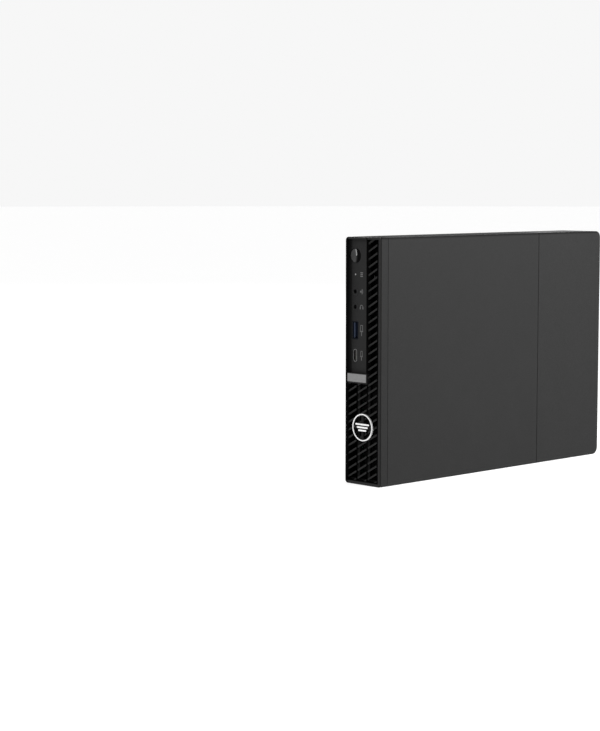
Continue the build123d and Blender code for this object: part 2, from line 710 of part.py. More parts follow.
# ---------------------------------------------------------------- front controls and sockets

def button_dish():
    """Large ball that hollows the button's face."""
    radius = (BUTTON_R ** 2 + BUTTON_DISH ** 2) / (2 * BUTTON_DISH)
    return Pos(PORT_X, BUTTON_FACE + BUTTON_DISH - radius, BUTTON_Z) * Sphere(radius)


def light_bar(start_y):
    """Bar from the button's centre to near its top edge, starting at the given depth."""
    ys = (start_y, BUTTON_FACE + BUTTON_LIGHT_DEPTH)
    return block(about(PORT_X, BUTTON_LIGHT_WIDTH), ys, (BUTTON_Z, BUTTON_Z + BUTTON_R - 0.35))


def power_button():
    """Round dished button on a stem, with a flange that keeps it behind the panel."""
    flange_ys = (PANEL_BACK + 0.3, PANEL_BACK + 1.1)
    cap = front_rod(PORT_X, BUTTON_Z, BUTTON_R, (BUTTON_FACE, flange_ys[0]))
    cap = fillet(cap.faces().sort_by(Axis.Y)[0].edges(), 0.3)
    flange = block(about(PORT_X, 7.6), flange_ys, about(BUTTON_Z, 14.6))
    stem = front_rod(PORT_X, BUTTON_Z, BUTTON_STEM_R, (flange_ys[1], BUTTON_STEM_END))
    return merge([cap, flange, stem]) - button_dish() - light_bar(FRONT)


def power_button_light():
    """Clear bar let into the button's face."""
    return light_bar(BUTTON_FACE) - button_dish()


def power_switch():
    """Push switch on the board behind the button, with its plunger."""
    body = block((BOARD_TOP, PORT_X + 3.0), SWITCH_Y, about(BUTTON_Z, 6.2))
    plunger_start = BUTTON_STEM_END + BUTTON_TRAVEL + 0.1
    return body + front_rod(PORT_X, BUTTON_Z, 1.1, (plunger_start, SWITCH_Y[0]))


def activity_light():
    """Light pipe from the board to the socket panel."""
    pipe = front_rod(PORT_X, LIGHT_Z, LIGHT_R, (PANEL_FLOOR, FRONT + 14.0))
    return pipe + block((BOARD_TOP, PORT_X + 1.0), (FRONT + 13.2, FRONT + 16.0), about(LIGHT_Z, 2.4))


def audio_jack(z):
    """Round audio socket: nose through the panel, body on the board, one long bore."""
    width = about(z, JACK_WIDTH)
    body_xs = (PORT_X + JACK_BODY[0], PORT_X + JACK_BODY[1])
    nose = front_rod(PORT_X, z, JACK_NOSE_R, (PANEL_FLOOR - NOSE_STAND, PANEL_BACK + 1.0))
    body = block(body_xs, (PANEL_BACK + 0.2, BOARD_Y[0]), width)
    foot = block((BOARD_TOP, body_xs[1]), (BOARD_Y[0], JACK_END), width)
    return merge([nose, body, foot]) - front_rod(PORT_X, z, JACK_BORE_R, (FRONT, JACK_BORE_END))


def type_a_front_shell():
    """Metal shell of the wide front socket."""
    centre = Pos(PORT_X, TYPE_A_Z)
    ys = (PANEL_FLOOR - NOSE_STAND, SHELL_END)
    outer = front_prism(centre * Rectangle(*TYPE_A_SIZE), ys)
    return outer - front_prism(centre * Rectangle(*hollow(TYPE_A_SIZE)), ys)


def type_a_front_tongue():
    """Plastic body of the wide front socket with its contact tongue."""
    tongue_xs = [PORT_X + side for side in TYPE_A_TONGUE]
    tongue = block(tongue_xs, (TONGUE_TIP, FRONT + 13.2), about(TYPE_A_Z, TYPE_A_TONGUE_WIDTH))
    top = PORT_X + TYPE_A_SIZE[0] / 2
    return tongue + block((BOARD_TOP, top), (BOARD_Y[0], FRONT + 19.0), about(TYPE_A_Z, TYPE_A_SIZE[1]))


def type_c_front_shell():
    """Metal shell of the small oval front socket."""
    ys = (PANEL_FLOOR - NOSE_STAND, SHELL_END)
    outer = front_prism(stadium(PORT_X, TYPE_C_Z, TYPE_C_SIZE), ys)
    return outer - front_prism(stadium(PORT_X, TYPE_C_Z, hollow(TYPE_C_SIZE)), ys)


def type_c_front_tongue():
    """Plastic body of the oval socket with its thin centre tongue."""
    thick, wide = TYPE_C_TONGUE
    tongue = block(about(PORT_X, thick), (TONGUE_TIP, FRONT + 13.2), about(TYPE_C_Z, wide))
    top = PORT_X + TYPE_C_SIZE[0] / 2
    return tongue + block((BOARD_TOP, top), (BOARD_Y[0], FRONT + 18.0), about(TYPE_C_Z, 9.0))


def cone_outline():
    """Oval outline of the loudspeaker's cone."""
    place = Pos(sum(SPEAKER_X) / 2, sum(SPEAKER_Z) / 2)
    return place * RectangleRounded(*CONE_SIZE, CONE_ROUND)


def speaker():
    """Small loudspeaker box behind the narrow grille, with a recess for its cone."""
    start = FRONT_WALL[1] + 0.2
    box = block(SPEAKER_X, (start, start + SPEAKER_DEPTH - 0.2), SPEAKER_Z)
    return box - front_prism(cone_outline(), (start, start + 1.6))


def speaker_cone():
    """Oval cone of the loudspeaker."""
    return front_prism(cone_outline(), (FRONT_WALL[1] + 0.9, FRONT_WALL[1] + 1.8))


def antennas():
    """Two flat antennas inside the plastic front, in the corners of the case."""
    ys = (FRONT_WALL[1] + 0.2, FRONT_WALL[1] + 1.0)
    return group(block(ANTENNA_X, ys, about(z, ANTENNA_LENGTH)) for z in ANTENNAS_Z)


# ---------------------------------------------------------------- circuit board and cooling

def system_board():
    """Main circuit board with its screw holes."""
    board = block(BOARD_X, BOARD_Y, BOARD_Z)
    for y, z in BOARD_SCREWS_YZ:
        board -= side_rod(y, z, BOARD_HOLE_R, BOARD_X)
    for y, z in HEATSINK_SCREWS_YZ:
        board -= side_rod(y, z, 1.3, BOARD_X)
    return board


def board_screws():
    """Screws that hold the board to the embossed posts."""
    head_xs = (BOARD_TOP, BOARD_TOP + 1.5)
    shank_xs = (BOARD_X[0] - 1.6, BOARD_TOP)
    return group(screw_along_x(y, z, 2.6, head_xs, 1.2, shank_xs) for y, z in BOARD_SCREWS_YZ)


def cpu_block(xs, width, height):
    """A plate centred on the processor."""
    y, z = CPU_YZ
    return block(xs, about(y, width), about(z, height))


def cpu_socket():
    """Socket frame with a square pocket for the processor."""
    frame = cpu_block((BOARD_TOP, CPU_FRAME_TOP_X), *CPU_FRAME)
    return frame - cpu_block((CPU_X[0], CPU_FRAME_TOP_X), CPU_POCKET, CPU_POCKET)


def processor():
    """Processor package with its metal lid."""
    lid = cpu_block((CPU_X[1], HEATSINK_X[0]), CPU_LID, CPU_LID)
    return cpu_block(CPU_X, CPU_BASE, CPU_BASE) + lid


def heatsink():
    """Aluminium block with upright fins that run from the fan to the rear vents."""
    base = block(HEATSINK_X, HEATSINK_Y, HEATSINK_Z)
    pitch = (FIN_ZONE_Z[1] - FIN_ZONE_Z[0] - FIN_THICK) / (FIN_COUNT - 1)
    fins = [
        block((HEATSINK_X[1], FIN_TOP_X), HEATSINK_Y, (z, z + FIN_THICK))
        for z in (FIN_ZONE_Z[0] + pitch * step for step in range(FIN_COUNT))
    ]
    sink = merge([base] + fins)
    for y, z in HEATSINK_SCREWS_YZ:
        sink -= side_rod(y, z, 1.8, HEATSINK_X)
    return sink


def heatsink_screws():
    """Long captive screws that pull the heatsink onto the processor."""
    head_xs = (HEATSINK_X[1], HEATSINK_X[1] + 2.4)
    shank_xs = (BOARD_X[0] - 0.6, HEATSINK_X[1])
    return group(screw_along_x(y, z, 3.0, head_xs, 1.2, shank_xs) for y, z in HEATSINK_SCREWS_YZ)


def fan_housing():
    """Blower housing: square box, round chamber, open throat towards the heatsink."""
    y, z = FAN_AXIS
    chamber_xs = shrunk(FAN_X, FAN_WALL)
    box = block(FAN_X, FAN_Y, FAN_Z)
    box -= side_rod(y, z, FAN_ROTOR_R + FAN_CHAMBER_GAP, chamber_xs)
    box -= block(chamber_xs, (y, FAN_Y[1]), FIN_ZONE_Z)
    box -= side_rod(y, z, FAN_INTAKE_R, (chamber_xs[1], FAN_X[1]))
    for ear_y, ear_z in FAN_EARS_YZ:
        box -= side_rod(ear_y, ear_z, 1.5, FAN_X)
    return box + side_rod(y, z, FAN_PIN_R, (chamber_xs[0], chamber_xs[0] + FAN_PIN_LENGTH))


def fan_rotor():
    """Blower wheel: hub cup that turns on the housing's pin, back plate and blades."""
    y, z = FAN_AXIS
    base_x = FAN_X[0] + FAN_WALL + 0.8
    top_x = FAN_X[1] - FAN_WALL - 0.9
    blade_xs = (base_x + 1.0, top_x)
    ring_xs = (top_x - 1.0, top_x)
    plate = side_rod(y, z, FAN_ROTOR_R, (base_x, blade_xs[0]))
    hub = side_rod(y, z, FAN_HUB_R, (base_x, base_x + FAN_HUB_HEIGHT))
    blades = [fan_blade(360 * step / FAN_BLADES, blade_xs) for step in range(FAN_BLADES)]
    ring = side_rod(y, z, FAN_ROTOR_R, ring_xs) - side_rod(y, z, FAN_ROTOR_R - FAN_RING, ring_xs)
    rotor = merge([plate, hub, ring] + blades)
    return rotor - side_rod(y, z, FAN_PIN_R + 0.05, (base_x, base_x + FAN_PIN_LENGTH + 0.4))


def fan_blade(turn, xs):
    """One flat blade near the rim, leaning off the radius."""
    y, z = FAN_AXIS
    middle = (FAN_ROTOR_R - 0.2 + FAN_BLADE_INNER_R) / 2
    place = Pos(y, z) * Rotation(0, 0, turn) * Pos(middle, 0) * Rotation(0, 0, FAN_BLADE_LEAN)
    return side_prism(place * Rectangle(*FAN_BLADE), xs)


def fan_screws():
    """Three screws through the corners of the blower."""
    head_xs = (FAN_X[1], FAN_X[1] + 1.6)
    shank_xs = (BOARD_TOP + 0.1, FAN_X[1])
    return group(screw_along_x(y, z, 2.6, head_xs, 1.3, shank_xs) for y, z in FAN_EARS_YZ)


# ---------------------------------------------------------------- cards and small parts

def memory_sockets():
    """Two flat sockets, each with a side arm at both ends."""
    xs = (BOARD_TOP, MEMORY_SOCKET_TOP_X)
    ends = about(sum(MEMORY_Z) / 2, MEMORY_SOCKET_LENGTH)
    arm_zs = [(ends[0], MEMORY_Z[0] - 0.3), (MEMORY_Z[1] + 0.3, ends[1])]
    sockets = []
    for start, end in MEMORY_SOCKETS_Y:
        bar = block(xs, (start, end), ends)
        bar -= block(MEMORY_CARD_X, (start + MEMORY_CARD_START, end), MEMORY_Z)
        arms = [block(xs, (end, start + MEMORY_ARM_END), zs) for zs in arm_zs]
        sockets.append(merge([bar] + arms))
    return group(sockets)


def memory_modules():
    """Two memory cards with four chips on each."""
    cards = []
    near, far, width = MEMORY_CHIP
    for start, _ in MEMORY_SOCKETS_Y:
        y = start + MEMORY_CARD_START
        chip_xs = (MEMORY_CARD_X[1], MEMORY_CARD_X[1] + 1.0)
        chips = [block(chip_xs, (y + near, y + far), about(z, width)) for z in MEMORY_CHIPS_Z]
        cards.append(merge([block(MEMORY_CARD_X, (y, y + MEMORY_CARD_DEPTH), MEMORY_Z)] + chips))
    return group(cards)


def card_sockets():
    """Edge sockets of the storage card and the radio card."""
    sockets = []
    for ys, zs in ((SSD_Y, SSD_Z), (RADIO_Y, RADIO_Z)):
        grip = zs[0] + 2.5
        body = block((BOARD_TOP, CARD_SOCKET_TOP_X), ys, (zs[0] - 4.0, grip))
        sockets.append(body - block(CARD_X, ys, (zs[0], grip)))
    return group(sockets)


def expansion_card(ys, zs, chips_z):
    """Thin card with wide chips and a half-round screw notch in its end."""
    chip_xs = (CARD_X[1], CARD_X[1] + 1.2)
    chips = [block(chip_xs, shrunk(ys, CHIP_EDGE), chip_zs) for chip_zs in chips_z]
    card = merge([block(CARD_X, ys, zs)] + chips)
    return card - side_rod(sum(ys) / 2, zs[1], 1.6, CARD_X)


def storage_card():
    """Solid-state storage card with its controller and memory chips."""
    return expansion_card(SSD_Y, SSD_Z, SSD_CHIPS_Z)


def radio_card():
    """Wireless network card under its shield."""
    return expansion_card(RADIO_Y, RADIO_Z, [RADIO_SHIELD_Z])


def card_screws():
    """Screws with their standing nuts at the free ends of the two cards."""
    screws = []
    for ys, zs in ((SSD_Y, SSD_Z), (RADIO_Y, RADIO_Z)):
        y = sum(ys) / 2
        post = side_rod(y, zs[1], 2.6, (BOARD_TOP, CARD_X[0]))
        screws.append(post + screw_along_x(y, zs[1], 2.7, (CARD_X[1], CARD_X[1] + 1.0), 1.3, CARD_X))
    return group(screws)


def coin_cell_holder():
    """Round holder for the clock battery."""
    y, z = CELL_YZ
    outer_r, inner_r, top_x = CELL_HOLDER
    return side_rod(y, z, outer_r, (BOARD_TOP, top_x)) - side_rod(y, z, inner_r, (CELL_X[0], top_x))


def coin_cell():
    """Clock battery."""
    cell = side_rod(*CELL_YZ, CELL_R, CELL_X)
    return chamfer(cell.faces().sort_by(Axis.X)[-1].edges(), 0.4)


def chipset():
    """Square controller chip."""
    y, z = CHIPSET_YZ
    width, height = CHIPSET_SIZE
    return block((BOARD_TOP, BOARD_TOP + height), about(y, width), about(z, width))


def power_coils():
    """Row of voltage-converter coils beside the processor."""
    width, height = COIL_SIZE
    xs = (BOARD_TOP, COIL_TOP_X)
    return group(block(xs, about(y, width), about(COIL_Z, height)) for y in COILS_Y)


def power_capacitors():
    """Row of can capacitors below the processor."""
    y, z = CANS_START_YZ
    cans = [side_rod(y + CAN_PITCH * step, z, CAN_R, (BOARD_TOP, CAN_TOP_X)) for step in range(CAN_COUNT)]
    return group(fillet(can.faces().sort_by(Axis.X)[-1].edges(), 0.4) for can in cans)


# ---------------------------------------------------------------- drive

def drive_caddy():
    """Tray that carries the drive above the board on four legs."""
    ys = (DRIVE_Y[0] - 1.0, DRIVE_Y[1] + 1.0)
    floor_xs = (CADDY_X[0], CADDY_X[0] + CADDY_WALL)
    window_y, window_z = CADDY_WINDOW_IN
    floor = block(floor_xs, ys, CADDY_Z)
    floor -= block(floor_xs, shrunk(ys, window_y), shrunk(CADDY_Z, window_z))
    side_zs = [(CADDY_Z[0], CADDY_Z[0] + CADDY_WALL), (CADDY_Z[1] - CADDY_WALL, CADDY_Z[1])]
    tray = merge([floor] + [block(CADDY_X, ys, zs) for zs in side_zs])
    for y in DRIVE_SCREW_Y:
        tray -= upright_rod(DRIVE_SCREW_X, y, 1.6, CADDY_Z)
    return merge([tray] + [caddy_leg(y, z) for y, z in CADDY_LEGS_YZ])


def caddy_leg(y, z):
    """Post from the board to a lug on the tray."""
    inner_y = DRIVE_Y[0] + 3.0 if y < sum(DRIVE_Y) / 2 else DRIVE_Y[1] - 3.0
    inner_z = CADDY_Z[0] + 1.0 if z < sum(DRIVE_Z) / 2 else CADDY_Z[1] - 1.0
    lug_xs = (CADDY_X[0], CADDY_X[0] + CADDY_WALL)
    lug = block(lug_xs, sorted((y, inner_y)), sorted((z, inner_z)))
    return merge([side_rod(y, z, CADDY_LEG_R, (BOARD_TOP, lug_xs[1])), lug])


def hard_drive():
    """Flat drive with rounded corners and threaded side holes."""
    body = block(DRIVE_X, DRIVE_Y, DRIVE_Z)
    body = fillet(body.edges().filter_by(Axis.X), DRIVE_CORNER_R)
    depth = 3.5
    for y in DRIVE_SCREW_Y:
        for zs in ((DRIVE_Z[0], DRIVE_Z[0] + depth), (DRIVE_Z[1] - depth, DRIVE_Z[1])):
            body -= upright_rod(DRIVE_SCREW_X, y, DRIVE_THREAD_R, zs)
    return body


def drive_screws():
    """Four short screws through the sides of the tray into the drive."""
    screws = []
    for y in DRIVE_SCREW_Y:
        for side, z in ((-1, CADDY_Z[0]), (1, CADDY_Z[1])):
            head = upright_rod(DRIVE_SCREW_X, y, 2.4, sorted((z, z + side * 1.0)))
            shank = upright_rod(DRIVE_SCREW_X, y, 1.2, sorted((z, z - side * 4.4)))
            screws.append(head + shank)
    return group(screws)


def drive_connector():
    """Flat connector on the drive's end, with a flexible strip under the tray to the board."""
    ends = (DRIVE_Y[1] + 1.2, DRIVE_Y[1] + 6.2)
    drop_y = DRIVE_Y[1] - 3.0
    run_xs = (CADDY_X[0] - 1.0, CADDY_X[0] - 1.0 + STRIP_THICK)
    far_y = ends[1] + STRIP_THICK
    plug = block((DRIVE_X[0] - 0.2, 12.4), ends, DRIVE_PLUG_Z)
    outer = block((run_xs[0], 10.0), (ends[1], far_y), STRIP_Z)
    under = block(run_xs, (drop_y, far_y), STRIP_Z)
    drop = block((BOARD_TOP + 2.0, run_xs[1]), (drop_y, drop_y + STRIP_THICK), STRIP_Z)
    board_plug = block((BOARD_TOP, BOARD_TOP + 2.4), about(drop_y + STRIP_THICK / 2, 2.4), STRIP_Z)
    return merge([plug, outer, under, drop, board_plug])


# ---------------------------------------------------------------- rear sockets

def rear_type_a_shells():
    """Four metal shells, in two stacked pairs."""
    ys = (SOCKET_BACK, SOCKET_MOUTH)
    width, height = hollow(TYPE_A_SIZE)
    shells = []
    for z in REAR_TYPE_A_Z:
        for x in REAR_TYPE_A_X:
            outer = block(about(x, TYPE_A_SIZE[0]), ys, about(z, TYPE_A_SIZE[1]))
            shells.append(outer - block(about(x, width), ys, about(z, height)))
    return group(shells)


def rear_type_a_tongues():
    """Plastic bodies of the two stacked pairs with their four contact tongues."""
    back_xs = (BOARD_TOP, REAR_TYPE_A_X[1] + TYPE_A_SIZE[0] / 2)
    tongue_ys = (SOCKET_BACK, REAR_FACE - 0.4)
    near, far = TYPE_A_TONGUE
    bodies = []
    for z in REAR_TYPE_A_Z:
        back = block(back_xs, (SOCKET_BACK - 3.0, SOCKET_BACK), about(z, TYPE_A_SIZE[1]))
        tongue_zs = about(z, TYPE_A_TONGUE_WIDTH)
        tongues = [block((x + near, x + far), tongue_ys, tongue_zs) for x in REAR_TYPE_A_X]
        bodies.append(merge([back] + tongues))
    return group(bodies)


def mouth(x, z, size, depth):
    """The space inside a socket, from its rear face inward."""
    return block(about(x, size[0]), (SOCKET_MOUTH - depth, SOCKET_MOUTH), about(z, size[1]))


def network_socket():
    """Network socket with a stepped mouth for the plug's latch."""
    body_xs = (BOARD_TOP, NETWORK_X + NETWORK_SIZE[0] / 2)
    body = block(body_xs, (SOCKET_BACK - 2.0, SOCKET_MOUTH), about(NETWORK_Z, NETWORK_SIZE[1]))
    body -= mouth(NETWORK_X - 0.8, NETWORK_Z, NETWORK_MOUTH, 13.0)
    return body - mouth(NETWORK_X + 4.0, NETWORK_Z, NETWORK_LATCH, 6.0)


def display_sockets():
    """Two display sockets, each with one cut corner."""
    inner_ys = (SOCKET_MOUTH - DISPLAY_DEPTH, SOCKET_MOUTH)
    thick, wide = DISPLAY_TONGUE
    sockets = []
    for z in DISPLAY_PORTS_Z:
        zs = about(z, DISPLAY_SIZE[1])
        body = block(about(DISPLAY_X, DISPLAY_SIZE[0]), (SOCKET_BACK, SOCKET_MOUTH), zs)
        foot = block((BOARD_TOP, DISPLAY_X), (SOCKET_BACK, REAR_PANEL[0] - 0.7), zs)
        tongue = block(about(DISPLAY_X, thick), (inner_ys[0], REAR_FACE - 0.6), about(z, wide))
        shell = merge([body, foot]) - front_prism(display_outline(z), inner_ys)
        sockets.append(merge([shell, tongue]))
    return group(sockets)


def display_outline(z):
    """Mouth of a display socket: a rectangle with one corner cut off."""
    width, height = hollow(DISPLAY_SIZE)
    left, right = about(DISPLAY_X, width)
    bottom, top = about(z, height)
    cut_corner = [(left, bottom + DISPLAY_CORNER), (left + DISPLAY_CORNER, bottom)]
    return make_face(Polyline(*cut_corner, (right, bottom), (right, top), (left, top), close=True))


def power_inlet():
    """Round low-voltage power socket with its centre contact."""
    joint_y = REAR_PANEL[0] - 0.2
    bore_ys = (SOCKET_MOUTH - POWER_BORE_DEPTH, SOCKET_MOUTH)
    body = block((BOARD_TOP, POWER_X + 5.0), (SOCKET_BACK, joint_y), about(POWER_INLET_Z, 10.0))
    nose = front_rod(POWER_X, POWER_INLET_Z, POWER_NOSE_R, (joint_y, SOCKET_MOUTH))
    contact = front_rod(POWER_X, POWER_INLET_Z, POWER_CONTACT_R, (bore_ys[0], SOCKET_MOUTH - 1.0))
    return merge([merge([body, nose]) - front_rod(POWER_X, POWER_INLET_Z, POWER_BORE_R, bore_ys), contact])


def option_plate():
    """Blank plate over the unused socket opening."""
    zs = about(OPTION_PORT_Z, OPTION_CUT_Z + 5.0)
    plate = block((OPTION_CUT_X[0] + 0.2, OPTION_CUT_X[1] + 1.6), (REAR_FACE, REAR_FACE + 0.8), zs)
    return fillet(plate.edges().filter_by(Axis.Y), 1.0)


def antenna_plugs():
    """Round plastic plugs in the two antenna holes."""
    plugs = []
    for z in ANTENNA_PLUGS_Z:
        stem = front_rod(UPPER_ROW_X, z, ANTENNA_HOLE_R - 0.05, (REAR_PANEL[0] - 1.0, REAR_FACE))
        plugs.append(stem + front_rod(UPPER_ROW_X, z, ANTENNA_CAP_R, (REAR_FACE, REAR_FACE + 0.9)))
    return group(plugs)


def padlock_loop():
    """Steel loop that stands out of the rear panel for a padlock."""
    zs = about(PADLOCK_Z, PADLOCK_THICK - 0.2)
    ear_x = UPPER_ROW_X - 1.0
    plate = block(about(UPPER_ROW_X, 5.8), (REAR_PANEL[0] - 3.0, REAR_FACE), zs)
    ear = block(about(ear_x, 9.0), (REAR_FACE, PADLOCK_REACH), zs)
    ear = fillet(ear.edges().filter_by(Axis.Z).group_by(Axis.Y)[-1], 3.0)
    return merge([plate, ear]) - upright_rod(ear_x, PADLOCK_REACH - 5.0, PADLOCK_HOLE_R, zs)


NODES = [
    chassis_base, front_bezel, label_strip, badge_ring, badge_carrier, badge_mark, rubber_feet,
    side_cover, cover_thumbscrew, cable_cover, cable_cover_screw,
    power_button, power_button_light, power_switch, activity_light,
    type_a_front_shell, type_a_front_tongue, type_c_front_shell, type_c_front_tongue,
    speaker, speaker_cone, antennas, system_board, board_screws, cpu_socket, processor,
    heatsink, heatsink_screws, fan_housing, fan_rotor, fan_screws,
    memory_sockets, memory_modules, card_sockets, storage_card, radio_card, card_screws,
    coin_cell_holder, coin_cell, chipset, power_coils, power_capacitors,
    drive_caddy, hard_drive, drive_screws, drive_connector,
    rear_type_a_shells, rear_type_a_tongues, network_socket, display_sockets, power_inlet,
    option_plate, antenna_plugs, padlock_loop,
]

os.makedirs("parts", exist_ok=True)
for make in NODES:
    export_step(make(), f"parts/{make.__name__}.step")
for name, z in zip(("headset_jack", "line_out_jack"), JACK_Z):
    export_step(audio_jack(z), f"parts/{name}.step")
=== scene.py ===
"""Looks of the mini desktop computer: materials, fine detail, floor, lights and camera.

Lengths are metres.
"""
import json
import math
import random
from functools import lru_cache
from itertools import product

import bmesh
import bpy
from mathutils import Matrix, Vector


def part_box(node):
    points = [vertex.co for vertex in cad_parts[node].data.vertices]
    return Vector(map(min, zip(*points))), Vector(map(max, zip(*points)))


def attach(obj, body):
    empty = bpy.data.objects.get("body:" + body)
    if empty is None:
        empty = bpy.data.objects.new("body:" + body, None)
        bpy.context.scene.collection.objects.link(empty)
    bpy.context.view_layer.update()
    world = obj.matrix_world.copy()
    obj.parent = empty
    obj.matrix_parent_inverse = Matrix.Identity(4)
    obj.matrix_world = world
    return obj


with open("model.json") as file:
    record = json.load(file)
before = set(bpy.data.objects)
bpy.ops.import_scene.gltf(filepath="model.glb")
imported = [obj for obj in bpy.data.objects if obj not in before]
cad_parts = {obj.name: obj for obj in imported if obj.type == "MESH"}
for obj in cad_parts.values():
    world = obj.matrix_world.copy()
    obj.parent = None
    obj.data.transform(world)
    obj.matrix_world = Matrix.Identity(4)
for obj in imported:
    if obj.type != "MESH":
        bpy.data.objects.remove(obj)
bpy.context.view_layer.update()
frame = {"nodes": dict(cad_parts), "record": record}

MM = 0.001
SEED = 11

CAMERA_PLACE = (0.9795, -1.1218, 0.2246)
CAMERA_TURN = 46.46
CAMERA_TILT = -5.58
CAMERA_LENS = 94.4
SENSOR = 36.0


# ---------------------------------------------------------------- small mesh tools

@lru_cache(maxsize=None)
def corners(node):
    """Lowest and highest corner of a node's box."""
    return tuple(Vector(corner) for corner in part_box(node))


def centre(node):
    """Middle of a node's box."""
    return (corners(node)[0] + corners(node)[1]) / 2


def low(node):
    """Lowest corner of a node's box."""
    return corners(node)[0]


def high(node):
    """Highest corner of a node's box."""
    return corners(node)[1]


def add_box(mesh, middle, size, bevel=0.0):
    """Adds a box with chamfered edges: six flats, twelve edge strips and eight corner faces."""
    half = [side / 2 for side in size]
    cut = min(bevel or min(size) * 0.06, min(half) * 0.8)
    made = {}
    for signs in product((-1, 1), repeat=3):
        for axis in range(3):
            spot = [signs[k] * (half[k] - (0 if k == axis else cut)) for k in range(3)]
            made[signs, axis] = mesh.verts.new(Vector(middle) + Vector(spot))
        mesh.faces.new([made[signs, axis] for axis in range(3)])
    for axis in range(3):
        one, two = (axis + 1) % 3, (axis + 2) % 3
        for sign in (-1, 1):
            ring = ((-1, -1), (1, -1), (1, 1), (-1, 1))
            mesh.faces.new([made[signed(axis, sign, a, b), axis] for a, b in ring])
        for a, b in product((-1, 1), repeat=2):
            near, far = signed(axis, -1, a, b), signed(axis, 1, a, b)
            mesh.faces.new([made[near, one], made[far, one], made[far, two], made[near, two]])


def signed(axis, along, one, two):
    """Corner signs from the sign along an axis and those along the next two axes."""
    signs = [0, 0, 0]
    signs[axis], signs[(axis + 1) % 3], signs[(axis + 2) % 3] = along, one, two
    return tuple(signs)


def slab(mesh, xs, ys, zs, bevel=0.0):
    """Adds a box between the given limits along each axis."""
    spans = (xs, ys, zs)
    add_box(mesh, [(a + b) / 2 for a, b in spans], [b - a for a, b in spans], bevel)


def about(middle, size):
    """The limits of a span about its middle."""
    return (middle - size / 2, middle + size / 2)


def islands(node):
    """Boxes of a node's separate solids, as (low corner, high corner), in order of Y, Z and X."""
    mesh = bmesh.new()
    mesh.from_mesh(frame["nodes"][node].data)
    bmesh.ops.remove_doubles(mesh, verts=mesh.verts, dist=0.001 * MM)
    left, boxes = set(mesh.verts), []
    while left:
        grown, found = [left.pop()], []
        while grown:
            vert = grown.pop()
            found.append(vert.co.copy())
            near = {edge.other_vert(vert) for edge in vert.link_edges} & left
            left -= near
            grown.extend(near)
        spans = [[pick(co[axis] for co in found) for axis in range(3)] for pick in (min, max)]
        boxes.append(tuple(Vector(span) for span in spans))
    mesh.free()
    return sorted(boxes, key=lambda box: [round(box[0][axis], 5) for axis in (1, 2, 0)])


def add_lathe(mesh, place, axis, profile, steps=32):
    """Adds a turned shape: profile is a list of (radius, distance along axis)."""
    along = Vector(axis).normalized()
    side = along.orthogonal().normalized()
    rings = []
    for radius, distance in profile:
        base = Vector(place) + along * distance
        if radius < 1e-7:
            rings.append([mesh.verts.new(base)])
            continue
        turns = (Matrix.Rotation(2 * math.pi * step / steps, 3, along) for step in range(steps))
        rings.append([mesh.verts.new(base + turn @ side * radius) for turn in turns])
    for first, second in zip(rings, rings[1:]):
        join_rings(mesh, first, second, steps)


def join_rings(mesh, first, second, steps):
    """Faces between two rings of points, either of which may be a single point."""
    for step in range(steps):
        after = (step + 1) % steps
        around = [first[step % len(first)], first[after % len(first)]]
        around += [second[after % len(second)], second[step % len(second)]]
        unique = list(dict.fromkeys(around))
        if len(unique) > 2:
            mesh.faces.new(unique)


def add_plate(mesh, outline, origin, right, up, thickness):
    """Adds a flat plate: outline in (right, up) coordinates, standing out along right x up."""
    out = Vector(right).cross(Vector(up)).normalized() * thickness
    back = [mesh.verts.new(Vector(origin) + Vector(right) * a + Vector(up) * b) for a, b in outline]
    front = [mesh.verts.new(vert.co + out) for vert in back]
    mesh.faces.new(front)
    mesh.faces.new(back[::-1])
    for step in range(len(outline)):
        after = (step + 1) % len(outline)
        mesh.faces.new([back[step], back[after], front[after], front[step]])


def arc(middle, radius, start, end, steps=10):
    """Points of an arc, in degrees."""
    turns = (math.radians(start + (end - start) * step / steps) for step in range(steps + 1))
    return [(middle[0] + radius * math.cos(t), middle[1] + radius * math.sin(t)) for t in turns]


def band(middle, inner, outer, start, end, steps=12):
    """Outline of a curved band."""
    return arc(middle, outer, start, end, steps) + arc(middle, inner, end, start, steps)


def bar(a, b, width):
    """Outline of a straight bar between two points."""
    along = (Vector(b) - Vector(a)).normalized()
    side = Vector((-along.y, along.x)) * width / 2
    a, b = Vector(a), Vector(b)
    return [tuple(a - side), tuple(b - side), tuple(b + side), tuple(a + side)]


def piece(name, mesh, body, material, smooth=False):
    """Turns a bmesh into a piece that rides on a CAD body."""
    bmesh.ops.recalc_face_normals(mesh, faces=mesh.faces)
    data = bpy.data.meshes.new(name)
    mesh.to_mesh(data)
    mesh.free()
    made = bpy.data.objects.new(name, data)
    bpy.context.collection.objects.link(made)
    data.materials.append(material)
    if smooth:
        data.polygons.foreach_set("use_smooth", [True] * len(data.polygons))
    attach(made, body)
    return made


# ---------------------------------------------------------------- materials

def grey(value):
    """A neutral colour."""
    return (value, value, value, 1.0)


def start_material(name):
    """A node material with its shader and the object's own coordinates."""
    made = bpy.data.materials.new(name)
    made.use_nodes = True
    nodes = made.node_tree.nodes
    shader = nodes["Principled BSDF"]
    place = nodes.new("ShaderNodeTexCoord")
    return made, nodes, made.node_tree.links, shader, place.outputs["Object"]


def add_noise(nodes, links, place, scale, detail=4.0, stretch=None):
    """Noise in the object's space, stretched along an axis if asked."""
    if stretch:
        mapping = nodes.new("ShaderNodeMapping")
        mapping.inputs["Scale"].default_value = stretch
        links.new(place, mapping.inputs["Vector"])
        place = mapping.outputs["Vector"]
    noise = nodes.new("ShaderNodeTexNoise")
    noise.inputs["Scale"].default_value = scale
    noise.inputs["Detail"].default_value = detail
    links.new(place, noise.inputs["Vector"])
    return noise.outputs["Fac"]


